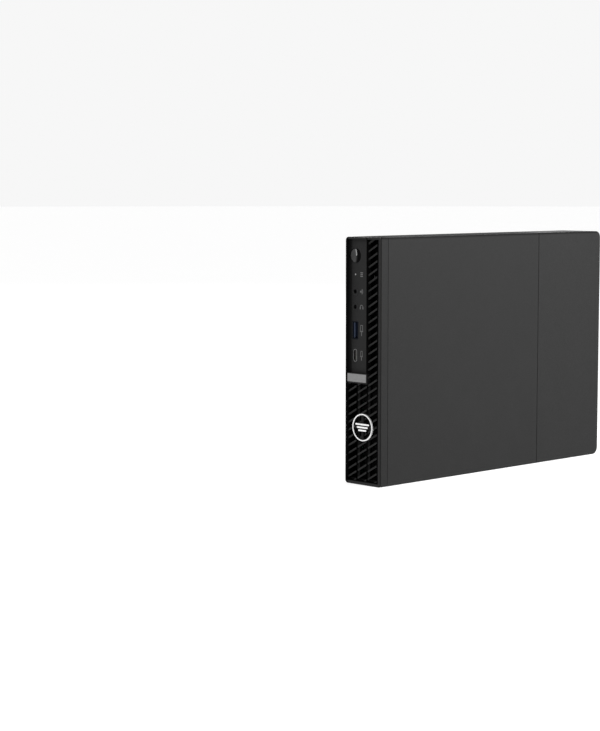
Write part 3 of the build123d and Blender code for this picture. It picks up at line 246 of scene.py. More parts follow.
def spread(nodes, links, source, low_out, high_out):
    """Maps noise to a range."""
    ranger = nodes.new("ShaderNodeMapRange")
    ranger.inputs["From Min"].default_value = 0.3
    ranger.inputs["From Max"].default_value = 0.7
    ranger.inputs["To Min"].default_value = low_out
    ranger.inputs["To Max"].default_value = high_out
    links.new(source, ranger.inputs["Value"])
    return ranger.outputs["Result"]


def two_tone(nodes, links, source, first, second):
    """Blends two colours by noise."""
    mix = nodes.new("ShaderNodeMix")
    mix.data_type = "RGBA"
    mix.inputs["A"].default_value = first
    mix.inputs["B"].default_value = second
    links.new(spread(nodes, links, source, 0.0, 1.0), mix.inputs["Factor"])
    return mix.outputs["Result"]


def add_bump(nodes, links, shader, height, depth, strength=0.5):
    """Surface relief from a height."""
    bump = nodes.new("ShaderNodeBump")
    bump.inputs["Distance"].default_value = depth
    bump.inputs["Strength"].default_value = strength
    links.new(height, bump.inputs["Height"])
    links.new(bump.outputs["Normal"], shader.inputs["Normal"])


def textured(name, colour, roughness, grain=2200.0, depth=0.00006, contrast=0.18, metallic=0.0,
             specular=0.5, strength=0.5, stretch=None):
    """Material with fine grain in its colour, roughness and relief."""
    made, nodes, links, shader, place = start_material(name)
    fine = add_noise(nodes, links, place, grain, 3.0, stretch)
    broad = add_noise(nodes, links, place, grain / 60.0, 3.0)
    dark = tuple(channel * (1 - contrast) for channel in colour[:3]) + (1.0,)
    light = tuple(min(1.0, channel * (1 + contrast)) for channel in colour[:3]) + (1.0,)
    links.new(two_tone(nodes, links, fine, dark, light), shader.inputs["Base Color"])
    links.new(spread(nodes, links, broad, roughness - 0.05, roughness + 0.05), shader.inputs["Roughness"])
    shader.inputs["Metallic"].default_value = metallic
    shader.inputs["Specular IOR Level"].default_value = specular
    add_bump(nodes, links, shader, fine, depth, strength)
    return made


def board_lacquer(name):
    """Green circuit-board lacquer with a fine grid of lighter lines, like traces."""
    made, nodes, links, shader, place = start_material(name)
    brick = nodes.new("ShaderNodeTexBrick")
    brick.inputs["Scale"].default_value = 300.0
    brick.inputs["Mortar Size"].default_value = 0.012
    brick.inputs["Color1"].default_value = (0.006, 0.045, 0.028, 1.0)
    brick.inputs["Color2"].default_value = (0.008, 0.055, 0.034, 1.0)
    brick.inputs["Mortar"].default_value = (0.02, 0.10, 0.06, 1.0)
    swap = nodes.new("ShaderNodeMapping")
    swap.inputs["Rotation"].default_value = (0.0, math.pi / 2, 0.0)
    links.new(place, swap.inputs["Vector"])
    links.new(swap.outputs["Vector"], brick.inputs["Vector"])
    links.new(brick.outputs["Color"], shader.inputs["Base Color"])
    fine = add_noise(nodes, links, place, 1200.0)
    links.new(spread(nodes, links, fine, 0.28, 0.42), shader.inputs["Roughness"])
    add_bump(nodes, links, shader, brick.outputs["Fac"], 0.00003, 0.4)
    return made


def ramp(nodes, links, value, start, end, least=0.0):
    """Smooth step from the least output to 1 between two values, which may run downwards."""
    ranger = nodes.new("ShaderNodeMapRange")
    ranger.interpolation_type = "SMOOTHSTEP"
    ranger.inputs["To Min"].default_value = least
    ranger.inputs["From Min"].default_value = start
    ranger.inputs["From Max"].default_value = end
    links.new(value, ranger.inputs["Value"])
    return ranger.outputs["Result"]


def combine(nodes, links, operation, one, two):
    """Arithmetic on two values, either of which may be a number."""
    made = nodes.new("ShaderNodeMath")
    made.operation = operation
    for socket, value in zip(made.inputs, (one, two)):
        if isinstance(value, (int, float)):
            socket.default_value = value
        else:
            links.new(value, socket)
    return made.outputs["Value"]


def inside(nodes, links, value, first, last):
    """1 between two values, 0 outside them."""
    over = combine(nodes, links, "GREATER_THAN", value, first)
    under = combine(nodes, links, "LESS_THAN", value, last)
    return combine(nodes, links, "MULTIPLY", over, under)


def shaded_bezel(name):
    """Bezel plastic with painted shade: darker in its cove, behind its slats and on its ribs, collar,
    divider, rim and sill, with its gloss dimmed there too.
    """
    made, nodes, links, shader, place = start_material(name)
    fine = add_noise(nodes, links, place, 2600.0, 3.0)
    split = nodes.new("ShaderNodeSeparateXYZ")
    links.new(place, split.inputs["Vector"])
    spots = dict(zip("XYZ", (split.outputs[axis] for axis in "XYZ")))
    lit = ramp(nodes, links, spots["X"], *COVE_X, COVE_SHADE_LEVEL)
    for level, limits in PAINTED_SHADE_ZONES:
        zone = 1.0
        for axis, span in limits.items():
            zone = combine(nodes, links, "MULTIPLY", zone, inside(nodes, links, spots[axis], *span))
        held = combine(nodes, links, "SUBTRACT", 1.0, combine(nodes, links, "MULTIPLY", zone, 1.0 - level))
        lit = combine(nodes, links, "MULTIPLY", lit, held)
    grain = two_tone(nodes, links, fine, grey(BEZEL_GREY * 0.85), grey(BEZEL_GREY * 1.15))
    mix = nodes.new("ShaderNodeMix")
    mix.data_type = "RGBA"
    mix.inputs["A"].default_value = grey(PAINTED_SHADE_GREY)
    links.new(grain, mix.inputs["B"])
    links.new(lit, mix.inputs["Factor"])
    links.new(mix.outputs["Result"], shader.inputs["Base Color"])
    links.new(spread(nodes, links, fine, 0.55, 0.66), shader.inputs["Roughness"])
    # Painted shade also lowers the gloss wherever the colour is darkened.
    links.new(combine(nodes, links, "MULTIPLY", lit, 0.16), shader.inputs["Specular IOR Level"])
    add_bump(nodes, links, shader, fine, 0.00005, 0.5)
    return made


def edge_shaded(name, colour, roughness, grain, specular):
    """Fine-grained cover finish, painted darker over its top edge to stand for shade there."""
    made = textured(name, grey(colour), roughness, grain, 0.00007, specular=specular)
    nodes, links = made.node_tree.nodes, made.node_tree.links
    shader = nodes["Principled BSDF"]
    split = nodes.new("ShaderNodeSeparateXYZ")
    links.new(nodes.new("ShaderNodeTexCoord").outputs["Object"], split.inputs["Vector"])
    mix = nodes.new("ShaderNodeMix")
    mix.data_type = "RGBA"
    mix.inputs["A"].default_value = grey(colour * EDGE_SHADE)
    links.new(shader.inputs["Base Color"].links[0].from_socket, mix.inputs["B"])
    links.new(ramp(nodes, links, split.outputs["Z"], *TOP_EDGE_Z), mix.inputs["Factor"])
    links.new(mix.outputs["Result"], shader.inputs["Base Color"])
    return made


def dished_plastic(name, lit_colour, far_colour, span):
    """Button plastic, painted darker from one X to another to stand for shade in its dish."""
    made, nodes, links, shader, place = start_material(name)
    fine = add_noise(nodes, links, place, 2600.0, 3.0)
    split = nodes.new("ShaderNodeSeparateXYZ")
    links.new(place, split.inputs["Vector"])
    mix = nodes.new("ShaderNodeMix")
    mix.data_type = "RGBA"
    links.new(two_tone(nodes, links, fine, grey(lit_colour * 0.9), grey(lit_colour * 1.1)), mix.inputs["A"])
    mix.inputs["B"].default_value = grey(far_colour)
    links.new(ramp(nodes, links, split.outputs["X"], *span), mix.inputs["Factor"])
    links.new(mix.outputs["Result"], shader.inputs["Base Color"])
    links.new(spread(nodes, links, fine, 0.4, 0.5), shader.inputs["Roughness"])
    shader.inputs["Specular IOR Level"].default_value = 0.05
    return made


def layered(name, below, above, x, above_metal=0.0):
    """Circuit-board material up to a height along X, and another colour over that."""
    made = board_lacquer(name)
    nodes, links = made.node_tree.nodes, made.node_tree.links
    shader = nodes["Principled BSDF"]
    place = nodes.new("ShaderNodeTexCoord").outputs["Object"]
    split = nodes.new("ShaderNodeSeparateXYZ")
    links.new(place, split.inputs["Vector"])
    over = nodes.new("ShaderNodeMath")
    over.operation = "GREATER_THAN"
    over.inputs[1].default_value = x
    links.new(split.outputs["X"], over.inputs[0])
    mix = nodes.new("ShaderNodeMix")
    mix.data_type = "RGBA"
    links.new(shader.inputs["Base Color"].links[0].from_socket, mix.inputs["A"])
    fine = add_noise(nodes, links, place, 2500.0)
    links.new(two_tone(nodes, links, fine, below, above), mix.inputs["B"])
    links.new(over.outputs["Value"], mix.inputs["Factor"])
    links.new(mix.outputs["Result"], shader.inputs["Base Color"])
    if above_metal:
        metal = nodes.new("ShaderNodeMath")
        metal.operation = "MULTIPLY"
        metal.inputs[1].default_value = above_metal
        links.new(over.outputs["Value"], metal.inputs[0])
        links.new(metal.outputs["Value"], shader.inputs["Metallic"])
    return made


COVER_GREY = 0.0197
EDGE_SHADE = 0.3
TOP_EDGE_Z = (181.6 * MM, 179.9 * MM)
BEZEL_GREY = 0.0122
# Painted shade on the bezel: its colour where the shade is deepest, and the cove on its base side, darkened
# to a part of its colour.
PAINTED_SHADE_GREY = 0.0003
COVE_X = (-15.2 * MM, -13.9 * MM)
COVE_SHADE_LEVEL = 0.35
FRONT = -128.25 * MM
FAR = 1.0
LOWER_Z = (-1.0, 74.6 * MM)
UPPER_Z = (74.6 * MM, FAR)
PANEL_Z = (82.3 * MM, FAR)
RIM_Z = (2.2 * MM, 180.4 * MM)
SILL_Z = (2.2 * MM, 2.9 * MM)
SLATS_Y = (FRONT + 2.2 * MM, FRONT + 3.1 * MM)
RIBS_Y = (FRONT + 3.1 * MM, FRONT + 3.4 * MM)
BEHIND_Y = (FRONT + 3.4 * MM, FAR)
COLLAR_Y = (FRONT + 0.3 * MM, FAR)
LOWER_GRILLE_X = (-16.2 * MM, 16.5 * MM)
UPPER_GRILLE_X = (4.8 * MM, 16.5 * MM)
SILL_X = (-16.2 * MM, 16.2 * MM)
RIM_X = (13.9 * MM, 16.3 * MM)
COLLAR_X = (16.5 * MM, 17.2 * MM)
COLLAR_EDGE_X = (17.2 * MM, FAR)
DIVIDER_X = (3.75 * MM, 4.8 * MM)
DIVIDER_SIDE_X = (4.4 * MM, 4.8 * MM)

# How much of the bezel's colour is left in each zone of painted shade, where a limit may be left out.
PAINTED_SHADE_ZONES = [
    (0.5, {"X": COLLAR_EDGE_X, "Y": COLLAR_Y}),
    (0.35, {"X": COLLAR_X, "Y": COLLAR_Y}),
    *[
        (level, {"Z": zs, "X": xs, "Y": ys})
        for level, ys in ((0.0, SLATS_Y), (0.3, RIBS_Y), (0.0, BEHIND_Y))
        for zs, xs in ((LOWER_Z, LOWER_GRILLE_X), (UPPER_Z, UPPER_GRILLE_X))
    ],
    (0.1, {"Z": PANEL_Z, "X": DIVIDER_X, "Y": (FRONT - 1.0 * MM, FRONT + 0.6 * MM)}),
    (0.35, {"Z": PANEL_Z, "X": DIVIDER_SIDE_X, "Y": (FRONT + 0.6 * MM, FAR)}),
    (0.12, {"X": RIM_X, "Z": RIM_Z, "Y": (FRONT - MM, FRONT + 3.1 * MM)}),
    (0.12, {"Z": SILL_Z, "X": SILL_X}),
]

MATERIALS = {
    "case_steel": textured("case_steel", grey(0.008), 0.75, 1800.0, 0.00005, specular=0.03),
    "cover_steel": edge_shaded("cover_steel", COVER_GREY, 0.6, 1900.0, 0.09),
    "cover_plastic": edge_shaded("cover_plastic", COVER_GREY * 1.04, 0.62, 1700.0, 0.09),
    "bezel_plastic": shaded_bezel("bezel_plastic"),
    "button_plastic": dished_plastic("button_plastic", 0.062, 0.0012, (-12.2 * MM, -9.3 * MM)),
    "light_pipe": textured("light_pipe", grey(0.3), 0.3, 1500.0, 0.00001, 0.05),
    "label_metal": textured("label_metal", grey(0.22), 0.34, 5000.0, 0.00002, 0.12, 0.85,
                            stretch=(0.08, 1.0, 1.0)),
    # Socket steel painted near black to stand for the shade deep inside socket mouths.
    "dark_steel": textured("dark_steel", (0.010, 0.012, 0.019, 1.0), 0.4, 3500.0, 0.00001, 0.1, 0.5,
                           specular=0.2),
    "badge_bright": textured("badge_bright", grey(0.86), 0.3, 2500.0, 0.00001, 0.04),
    "badge_dark": textured("badge_dark", grey(0.003), 0.5, 2500.0, 0.00001, specular=0.1),
    "foot_rubber": textured("foot_rubber", grey(0.02), 0.8, 1500.0, 0.0001),
    "bright_steel": textured("bright_steel", grey(0.55), 0.32, 3500.0, 0.00001, 0.1, 1.0,
                             stretch=(1.0, 0.1, 1.0)),
    "screw_black": textured("screw_black", grey(0.03), 0.38, 2500.0, 0.00002, metallic=0.6),
    "screw_steel": textured("screw_steel", grey(0.5), 0.35, 2500.0, 0.00001, 0.1, 1.0),
    "black_plastic": textured("black_plastic", grey(0.012), 0.5, 2400.0, 0.00003, specular=0.2),
    "blue_plastic": textured("blue_plastic", (0.014, 0.022, 0.045, 1.0), 0.45, 2400.0, 0.00002, specular=0.3),
    "board_green": board_lacquer("board_green"),
    "chip_black": textured("chip_black", grey(0.014), 0.45, 3000.0, 0.00003),
    "lid_metal": textured("lid_metal", grey(0.6), 0.3, 2500.0, 0.00001, 0.06, 1.0),
    "fin_aluminium": textured("fin_aluminium", grey(0.62), 0.36, 2500.0, 0.00001, 0.08, 1.0,
                              stretch=(1.0, 0.1, 1.0)),
    "cell_steel": textured("cell_steel", grey(0.6), 0.25, 2500.0, 0.00001, 0.06, 1.0),
    "drive_metal": textured("drive_metal", grey(0.48), 0.42, 2500.0, 0.00003, 0.1, 0.9),
    "cone_paper": textured("cone_paper", grey(0.02), 0.8, 1800.0, 0.0001),
    "antenna_film": textured("antenna_film", grey(0.016), 0.4, 1800.0, 0.00001),
}
PRINT_GREY = textured("print_grey", grey(0.10), 0.6, 3000.0, 0.00001, 0.08)
GOLD = textured("contact_gold", (0.62, 0.42, 0.14, 1.0), 0.28, 3000.0, 0.00001, 0.1, 1.0)
COPPER = textured("coil_copper", (0.55, 0.25, 0.12, 1.0), 0.35, 3000.0, 0.00001, 0.1, 1.0)
CERAMIC_TAN = textured("capacitor_tan", (0.30, 0.19, 0.10, 1.0), 0.5, 3000.0, 0.00002, 0.2)
PAPER_WHITE = textured("label_paper", grey(0.6), 0.6, 2000.0, 0.00002, 0.05)
CHIP_TONES = (grey(0.011), grey(0.017))
LID_TONES = (grey(0.5), grey(0.6))
LAYERED_NODES = {
    "memory_modules": layered("memory_card", *CHIP_TONES, -9.65 * MM),
    "storage_card": layered("storage_card", *CHIP_TONES, -9.55 * MM),
    "radio_card": layered("radio_card", *LID_TONES, -9.55 * MM, 1.0),
    "processor": layered("processor", *LID_TONES, -11.02 * MM, 1.0),
    "type_c_front_shell": textured("socket_steel", grey(0.24), 0.4, 3500.0, 0.00001, 0.1, 1.0),
    "type_c_front_tongue": textured("socket_tongue", (0.042, 0.040, 0.034, 1.0), 0.5, 2400.0, 0.00002),
}
STATUS_GREEN = textured("status_window", (0.10, 0.32, 0.12, 1.0), 0.3, 2000.0, 0.00001, 0.1)


def dress_cad_nodes():
    """Gives each CAD node the material of its slot."""
    slots = {row["node"]: row["material_slot"] for row in frame["record"]["subparts"]}
    for name, node in frame["nodes"].items():
        node.data.materials.clear()
        node.data.materials.append(LAYERED_NODES.get(name, MATERIALS[slots[name]]))


# ---------------------------------------------------------------- front details

PRINT_THICK = 0.04 * MM
ICON_STEP = 7.0 * MM
WIDE_TONGUE_X = (-2.1, -0.6)
WIDE_TONGUE_HALF = 5.5 * MM


def printed_mark(name, z, outlines):
    """Pale printed mark beside a socket, from outlines in millimetres about its middle."""
    mesh = bmesh.new()
    floor_y = low("activity_light").y
    origin = (centre("activity_light").x + ICON_STEP, floor_y, z)
    for outline in outlines:
        add_plate(mesh, [(a * MM, b * MM) for a, b in outline], origin, (1, 0, 0), (0, 0, 1), PRINT_THICK)
    piece(name, mesh, "case", PRINT_GREY)


def plug_outlines(width, height, stem):
    """A plug seen from the side: an open frame, a collar and a lead."""
    top = height / 2 + stem / 2
    frame_low, frame_high = top - height, top
    side = width / 2
    return [
        bar((-side, frame_low), (-side, frame_high), 0.45),
        bar((side, frame_low), (side, frame_high), 0.45),
        bar((-side - 0.22, frame_high), (side + 0.22, frame_high), 0.45),
        bar((-side - 0.5, frame_low), (side + 0.5, frame_low), 0.9),
        bar((0, frame_low), (0, frame_low - stem), 0.6),
    ]


def front_prints():
    """Generic marks beside the activity light and the four front sockets."""
    discs = [bar((-1.3, level), (1.3, level), 0.75) for level in (-1.3, 0.0, 1.3)]
    printed_mark("activity_print", centre("activity_light").z, discs)
    waves = [band((-1.0, 0), reach, reach + 0.5, -60, 60) for reach in (0.9, 1.9)]
    printed_mark("headset_print", centre("headset_jack").z, waves + [arc((-1.0, 0), 0.7, 0, 340)])
    pads = [bar((side, -1.6), (side, 0.2), 0.9) for side in (-1.35, 1.35)]
    printed_mark("line_out_print", centre("line_out_jack").z, [band((0, 0.1), 1.1, 1.6, 0, 180)] + pads)
    printed_mark("wide_plug_print", centre("type_a_front_shell").z, plug_outlines(2.2, 4.4, 3.4))
    printed_mark("oval_plug_print", centre("type_c_front_shell").z, plug_outlines(1.7, 3.8, 3.0))


def jack_fittings(node):
    """Contact sleeve, in steel painted dark as shade inside the mouth, and a fine raised lip inside the mouth
    of an audio socket.
    """
    mesh = bmesh.new()
    place = Vector((centre("activity_light").x, low(node).y, centre(node).z))
    bore = 1.8 * MM
    sleeve = [(bore, 1.0), (bore - 0.25 * MM, 1.2), (bore - 0.25 * MM, 4.0), (bore, 4.2), (bore, 1.0)]
    add_lathe(mesh, place, (0, 1, 0), [(radius, depth * MM) for radius, depth in sleeve], 40)
    piece(f"{node}_sleeve", mesh, "case", MATERIALS["dark_steel"], smooth=True)
    lip = bmesh.new()
    edge = [(2.0, 0.0), (2.15, -0.12), (2.45, -0.12), (2.6, 0.0)]
    add_lathe(lip, place, (0, 1, 0), [(radius * MM, depth * MM) for radius, depth in edge], 40)
    piece(f"{node}_lip", lip, "case", MATERIALS["black_plastic"], smooth=True)


def tongue_contacts(name, tongue, count, width, direction, length):
    """Row of gold contacts on a socket's tongue; direction is the way its mouth faces along Y."""
    mesh = bmesh.new()
    first, last = tongue
    tip = first.y if direction < 0 else last.y
    pitch = (last.z - first.z) * 0.8 / count
    ys = sorted((tip - direction * 0.4 * MM, tip - direction * length))
    for step in range(count):
        z = (first.z + last.z) / 2 + pitch * (step - (count - 1) / 2)
        slab(mesh, (last.x, last.x + 0.06 * MM), ys, about(z, width), 0.02 * MM)
    piece(name, mesh, "case", GOLD)


def front_contacts():
    """Contacts of the two front data sockets."""
    port_x = centre("activity_light").x
    for name, node, faces, count, width in (
        ("wide_socket_contacts", "type_a_front_tongue", WIDE_TONGUE_X, 4, 1.1 * MM),
        ("oval_socket_contacts", "type_c_front_tongue", (-0.35, 0.35), 8, 0.32 * MM),
    ):
        first, last = low(node), high(node)
        reach = WIDE_TONGUE_HALF if count == 4 else 3.35 * MM
        first = Vector((port_x + faces[0] * MM, first.y, centre(node).z - reach))
        last = Vector((port_x + faces[1] * MM, last.y, centre(node).z + reach))
        tongue_contacts(name, (first, last), count, width, -1, 6.0 * MM)


# ---------------------------------------------------------------- rear details

def rear_contacts():
    """Contacts of the four rear data sockets, which sit inside their shells."""
    for number, (first, last) in enumerate(islands("rear_type_a_shells"), 1):
        middle = (first + last) / 2
        tongue = (
            Vector((middle.x + WIDE_TONGUE_X[0] * MM, first.y, middle.z - WIDE_TONGUE_HALF)),
            Vector((middle.x + WIDE_TONGUE_X[1] * MM, last.y - 0.8 * MM, middle.z + WIDE_TONGUE_HALF)),
        )
        tongue_contacts(f"rear_contacts_{number}", tongue, 4, 1.1 * MM, 1, 7.0 * MM)


def network_details():
    """Eight sprung wires in the network socket, and its two status windows."""
    middle, mouth_y = centre("network_socket"), high("network_socket").y
    mouth_x = high("network_socket").x - 7.4 * MM
    wires = bmesh.new()
    for step in range(8):
        zs = about(middle.z + (step - 3.5) * 1.05 * MM, 0.4 * MM)
        slab(wires, about(mouth_x - 2.9 * MM, 0.35 * MM), (mouth_y - 10 * MM, mouth_y - 2 * MM), zs)
        slab(wires, (mouth_x - 4.1 * MM, mouth_x - 2.9 * MM), about(mouth_y - 2 * MM, 0.35 * MM), zs)
    piece("network_wires", wires, "case", GOLD)
    for side, name in ((-1, "link_window"), (1, "traffic_window")):
        mesh = bmesh.new()
        z = middle.z + side * 5.6 * MM
        x = high("network_socket").x - 1.6 * MM
        slab(mesh, about(x, 1.9 * MM), (mouth_y, mouth_y + 0.08 * MM), about(z, 2.6 * MM), 0.03 * MM)
        piece(name, mesh, "case", STATUS_GREEN)


def display_contacts():
    """Fine contacts on both faces of each display socket's tongue."""
    for number, (first, last) in enumerate(islands("display_sockets"), 1):
        middle_x, middle_z = last.x - 2.8 * MM, (first.z + last.z) / 2
        tip = last.y - 1.0 * MM
        mesh = bmesh.new()
        for step in range(10):
            z = middle_z + (step - 4.5) * 1.05 * MM
            for face in (-1, 1):
                x = middle_x + face * 0.62 * MM
                slab(mesh, about(x, 0.05 * MM), (tip - 6 * MM, tip - 0.4 * MM), about(z, 0.5 * MM))
        piece(f"display_contacts_{number}", mesh, "case", GOLD)


def cover_hooks():
    """Bent hooks along the two flanges of the side cover."""
    first, last = low("side_cover"), high("side_cover")
    hooks = bmesh.new()
    thick, inset = 0.9 * MM, 1.8 * MM
    for z in (first.z + inset, last.z - inset - thick):
        for part in (0.16, 0.5, 0.84):
            y = first.y + (last.y - first.y) * part
            slab(hooks, (10.6 * MM, 12.0 * MM), about(y, 9 * MM), (z, z + thick), 0.2 * MM)
    piece("cover_hooks", hooks, "side_panel", MATERIALS["cover_steel"])


def hood_ribs():
    """Moulded stiffening ribs on the inner walls of the cable cover."""
    first, last = low("cable_cover"), high("cable_cover")
    wall = 2.0 * MM
    ribs = bmesh.new()
    ys = (first.y + 16 * MM, last.y - 9 * MM)
    for part in (0.14, 0.32, 0.5, 0.68, 0.86):
        z = (last.z - first.z) * part
        slab(ribs, (last.x - wall - 0.8 * MM, last.x - wall), ys, about(z, 1.0 * MM), 0.2 * MM)
    for z in (first.z + wall + 0.4 * MM, last.z - wall - 0.4 * MM):
        for x in (-7 * MM, 0.0, 7 * MM):
            slab(ribs, about(x, 1.0 * MM), ys, about(z, 0.8 * MM), 0.2 * MM)
    piece("hood_ribs", ribs, "cable_hood", MATERIALS["cover_plastic"])


EXIT_MIDDLE = (98.25 * MM, 91.0 * MM)
EXIT_HALF_SIDES = (14, 25)
EXIT_CORNER = 5


def exit_rim():
    """Raised rim around the cable exit of the cable cover, on the inner side."""
    x = low("cable_cover").x + 2.0 * MM
    middle = Vector((x, *EXIT_MIDDLE))
    mesh = bmesh.new()
    loops = []
    for grow, lift in ((0.0, 0.0), (0.0, 0.9), (1.4, 0.9), (1.4, 0.0)):
        half_y, half_z, radius = (side + grow for side in (*EXIT_HALF_SIDES, EXIT_CORNER))
        rounds = [(half_y - radius, half_z - radius, 0), (radius - half_y, half_z - radius, 90),
                  (radius - half_y, radius - half_z, 180), (half_y - radius, radius - half_z, 270)]
        outline = [point for a, b, turn in rounds for point in arc((a, b), radius, turn, turn + 90, 6)]
        loops.append([mesh.verts.new(middle + Vector((lift, a, b)) * MM) for a, b in outline])
    for inner, outer in zip(loops, loops[1:]):
        join_rings(mesh, inner, outer, len(inner))
    piece("exit_rim", mesh, "cable_hood", MATERIALS["cover_plastic"])


# ---------------------------------------------------------------- base side details

BASE_FACE_X = -17.0 * MM
BASE_LABEL_Y = (-60 * MM, 8 * MM)
BASE_LABEL_Z = (70 * MM, 112 * MM)
BRACKET_MIDDLE = (-39.0 * MM, 91.0 * MM)
BRACKET_REACH = 50 * MM
BRACKET_RING = [(2.4, 0.0), (2.7, 0.35), (4.6, 0.35), (5.2, 0.0)]
FOOT_RING = [(6.9, 0.0), (6.9, 0.3), (6.5, 0.45), (6.25, 0.45), (6.1, 0.0)]


def base_details():
    """Blank label, and raised rings round the bracket holes and feet on the base side."""
    label = bmesh.new()
    slab(label, (BASE_FACE_X - 0.06 * MM, BASE_FACE_X), BASE_LABEL_Y, BASE_LABEL_Z, 0.02 * MM)
    piece("blank_label", label, "case", PAPER_WHITE)
    rings = bmesh.new()
    for side_y, side_z in product((-1, 1), repeat=2):
        y = BRACKET_MIDDLE[0] + side_y * BRACKET_REACH
        z = BRACKET_MIDDLE[1] + side_z * BRACKET_REACH
        profile = [(radius * MM, rise * MM) for radius, rise in BRACKET_RING]
        add_lathe(rings, (BASE_FACE_X, y, z), (-1, 0, 0), profile, 40)
    piece("bracket_bosses", rings, "case", MATERIALS["case_steel"], smooth=True)
    for number, (first, last) in enumerate(islands("rubber_feet"), 1):
        middle = (first + last) / 2
        mesh = bmesh.new()
        profile = [(radius * MM, rise * MM) for radius, rise in FOOT_RING]
        add_lathe(mesh, (BASE_FACE_X, middle.y, middle.z), (-1, 0, 0), profile, 48)
        piece(f"foot_seat_{number}", mesh, "case", MATERIALS["case_steel"], smooth=True)


# ---------------------------------------------------------------- board details

def board_face():
    """Height of the circuit board's component side along X."""
    return high("system_board").x


def covered_boxes():
    """(y, z) boxes of everything in front of the board, which small parts keep clear of."""
    skipped = {"system_board", "chassis_base", "front_bezel", "side_cover", "cable_cover"}
    boxes = []
    for name in frame["nodes"]:
        if name in skipped:
            continue
        for first, last in islands(name):
            if last.x > board_face() and first.y < high("system_board").y:
                boxes.append((first.y, first.z, last.y, last.z))
    return boxes


def is_free(y, z, reach, boxes):
    """Whether a spot on the board is clear of every box by the given reach."""
    on_board = (
        low("system_board").y + 3 * MM < y < high("system_board").y - 3 * MM
        and low("system_board").z + 3 * MM < z < high("system_board").z - 3 * MM
    )
    blocked = any(
        first_y - reach < y < last_y + reach and first_z - reach < z < last_z + reach
        for first_y, first_z, last_y, last_z in boxes
    )
    return on_board and not blocked


BOARD_CHIPS = ((39.5, 66.0, 8.0), (39.5, 52.0, 7.0), (39.5, 81.0, 6.0), (-72.0, 88.6, 4.6))


def leaded_chips(boxes):
    """Leaded chips on the free parts of the board, from (y, z, side) in millimetres."""
    bodies, leads = bmesh.new(), bmesh.new()
    face = board_face()
    body_xs = (face + 0.1 * MM, face + 1.2 * MM)
    for y, z, size in BOARD_CHIPS:
        y, z, half = y * MM, z * MM, size / 2 * MM
        slab(bodies, body_xs, (y - half, y + half), (z - half, z + half), 0.12 * MM)
        boxes.append((y - half - MM, z - half - MM, y + half + MM, z + half + MM))
        count = int(size * 1.4)
        for step in range(count):
            along = (step - (count - 1) / 2) * size * 0.9 / count * MM
            for side in (-1, 1):
                reach = sorted((side * half, side * (half + 0.7 * MM)))
                slab(leads, (face, face + 0.35 * MM), [y + end for end in reach], about(z + along, 0.25 * MM))
                slab(leads, (face, face + 0.35 * MM), about(y + along, 0.25 * MM), [z + end for end in reach])
    piece("board_chips", bodies, "case", MATERIALS["chip_black"])
    piece("chip_leads", leads, "case", MATERIALS["bright_steel"])


PARTS_WANTED = 420
MOST_TRIES = 9000


def scattered_parts(boxes):
    """Seeded rows of tiny resistors and capacitors on the free parts of the board."""
    draw = random.Random(SEED)
    meshes = {"capacitors": bmesh.new(), "resistors": bmesh.new(), "part_ends": bmesh.new()}
    face = board_face()
    first, last = low("system_board"), high("system_board")
    placed = 0
    for _ in range(MOST_TRIES):
        if placed >= PARTS_WANTED:
            break
        y, z = draw.uniform(first.y, last.y), draw.uniform(first.z, last.z)
        y, z = round(y / MM) * MM, round(z / MM) * MM
        kind = draw.choice(("capacitors", "resistors", "capacitors"))
        long_y = draw.random() < 0.5
        if not is_free(y, z, 1.1 * MM, boxes):
            continue
        size = (1.6, 0.8) if draw.random() < 0.6 else (2.2, 1.3)
        rise = (0.5 if kind == "resistors" else 0.9) * MM
        half_y, half_z = [side / 2 * MM for side in (size if long_y else size[::-1])]
        slab(meshes[kind], (face, face + rise), (y - half_y, y + half_y), (z - half_z, z + half_z), 0.08 * MM)
        for side in (-1, 1):
            cap = 0.16 * MM
            reach_y, reach_z = (cap, half_z) if long_y else (half_y, cap)
            end_y = about(y + side * (half_y - cap) * long_y, reach_y * 2 + 0.04 * MM)
            end_z = about(z + side * (half_z - cap) * (not long_y), reach_z * 2 + 0.04 * MM)
            slab(meshes["part_ends"], (face, face + rise + 0.02 * MM), end_y, end_z)
        boxes.append((y - half_y, z - half_z, y + half_y, z + half_z))
        placed += 1
    piece("board_capacitors", meshes["capacitors"], "case", CERAMIC_TAN)
    piece("board_resistors", meshes["resistors"], "case", MATERIALS["chip_black"])
    piece("part_ends", meshes["part_ends"], "case", MATERIALS["bright_steel"])


HEADER_PLACE = (39.5 * MM, 20.0 * MM)


def pin_header(boxes):
    """Two-row pin header near the board's rear edge."""
    pins, base = bmesh.new(), bmesh.new()
    face = board_face()
    y, z = HEADER_PLACE
    pitch = 2.0 * MM
    slab(base, (face, face + 1.6 * MM), about(y, 2 * pitch), about(z, 7 * pitch), 0.1 * MM)
    for row in (-0.5, 0.5):
        for step in range(7):
            place = (y + row * pitch, z + (step - 3) * pitch)
            slab(pins, (face, face + 6 * MM), about(place[0], 0.5 * MM), about(place[1], 0.5 * MM), 0.08 * MM)
    boxes.append((y - 3 * MM, z - 8 * MM, y + 3 * MM, z + 8 * MM))
    piece("header_base", base, "case", MATERIALS["black_plastic"])
    piece("header_pins", pins, "case", GOLD)


def mount_pads():
    """Tinned rings round the board's screw holes."""
    mesh = bmesh.new()
    for first, last in islands("board_screws"):
        middle = (first + last) / 2
        profile = [(2.6, 0.0), (2.6, 0.06), (3.6, 0.06), (3.6, 0.0)]
        place = (board_face(), middle.y, middle.z)
        add_lathe(mesh, place, (1, 0, 0), [(radius * MM, rise * MM) for radius, rise in profile], 32)
    piece("screw_pads", mesh, "case", MATERIALS["bright_steel"])


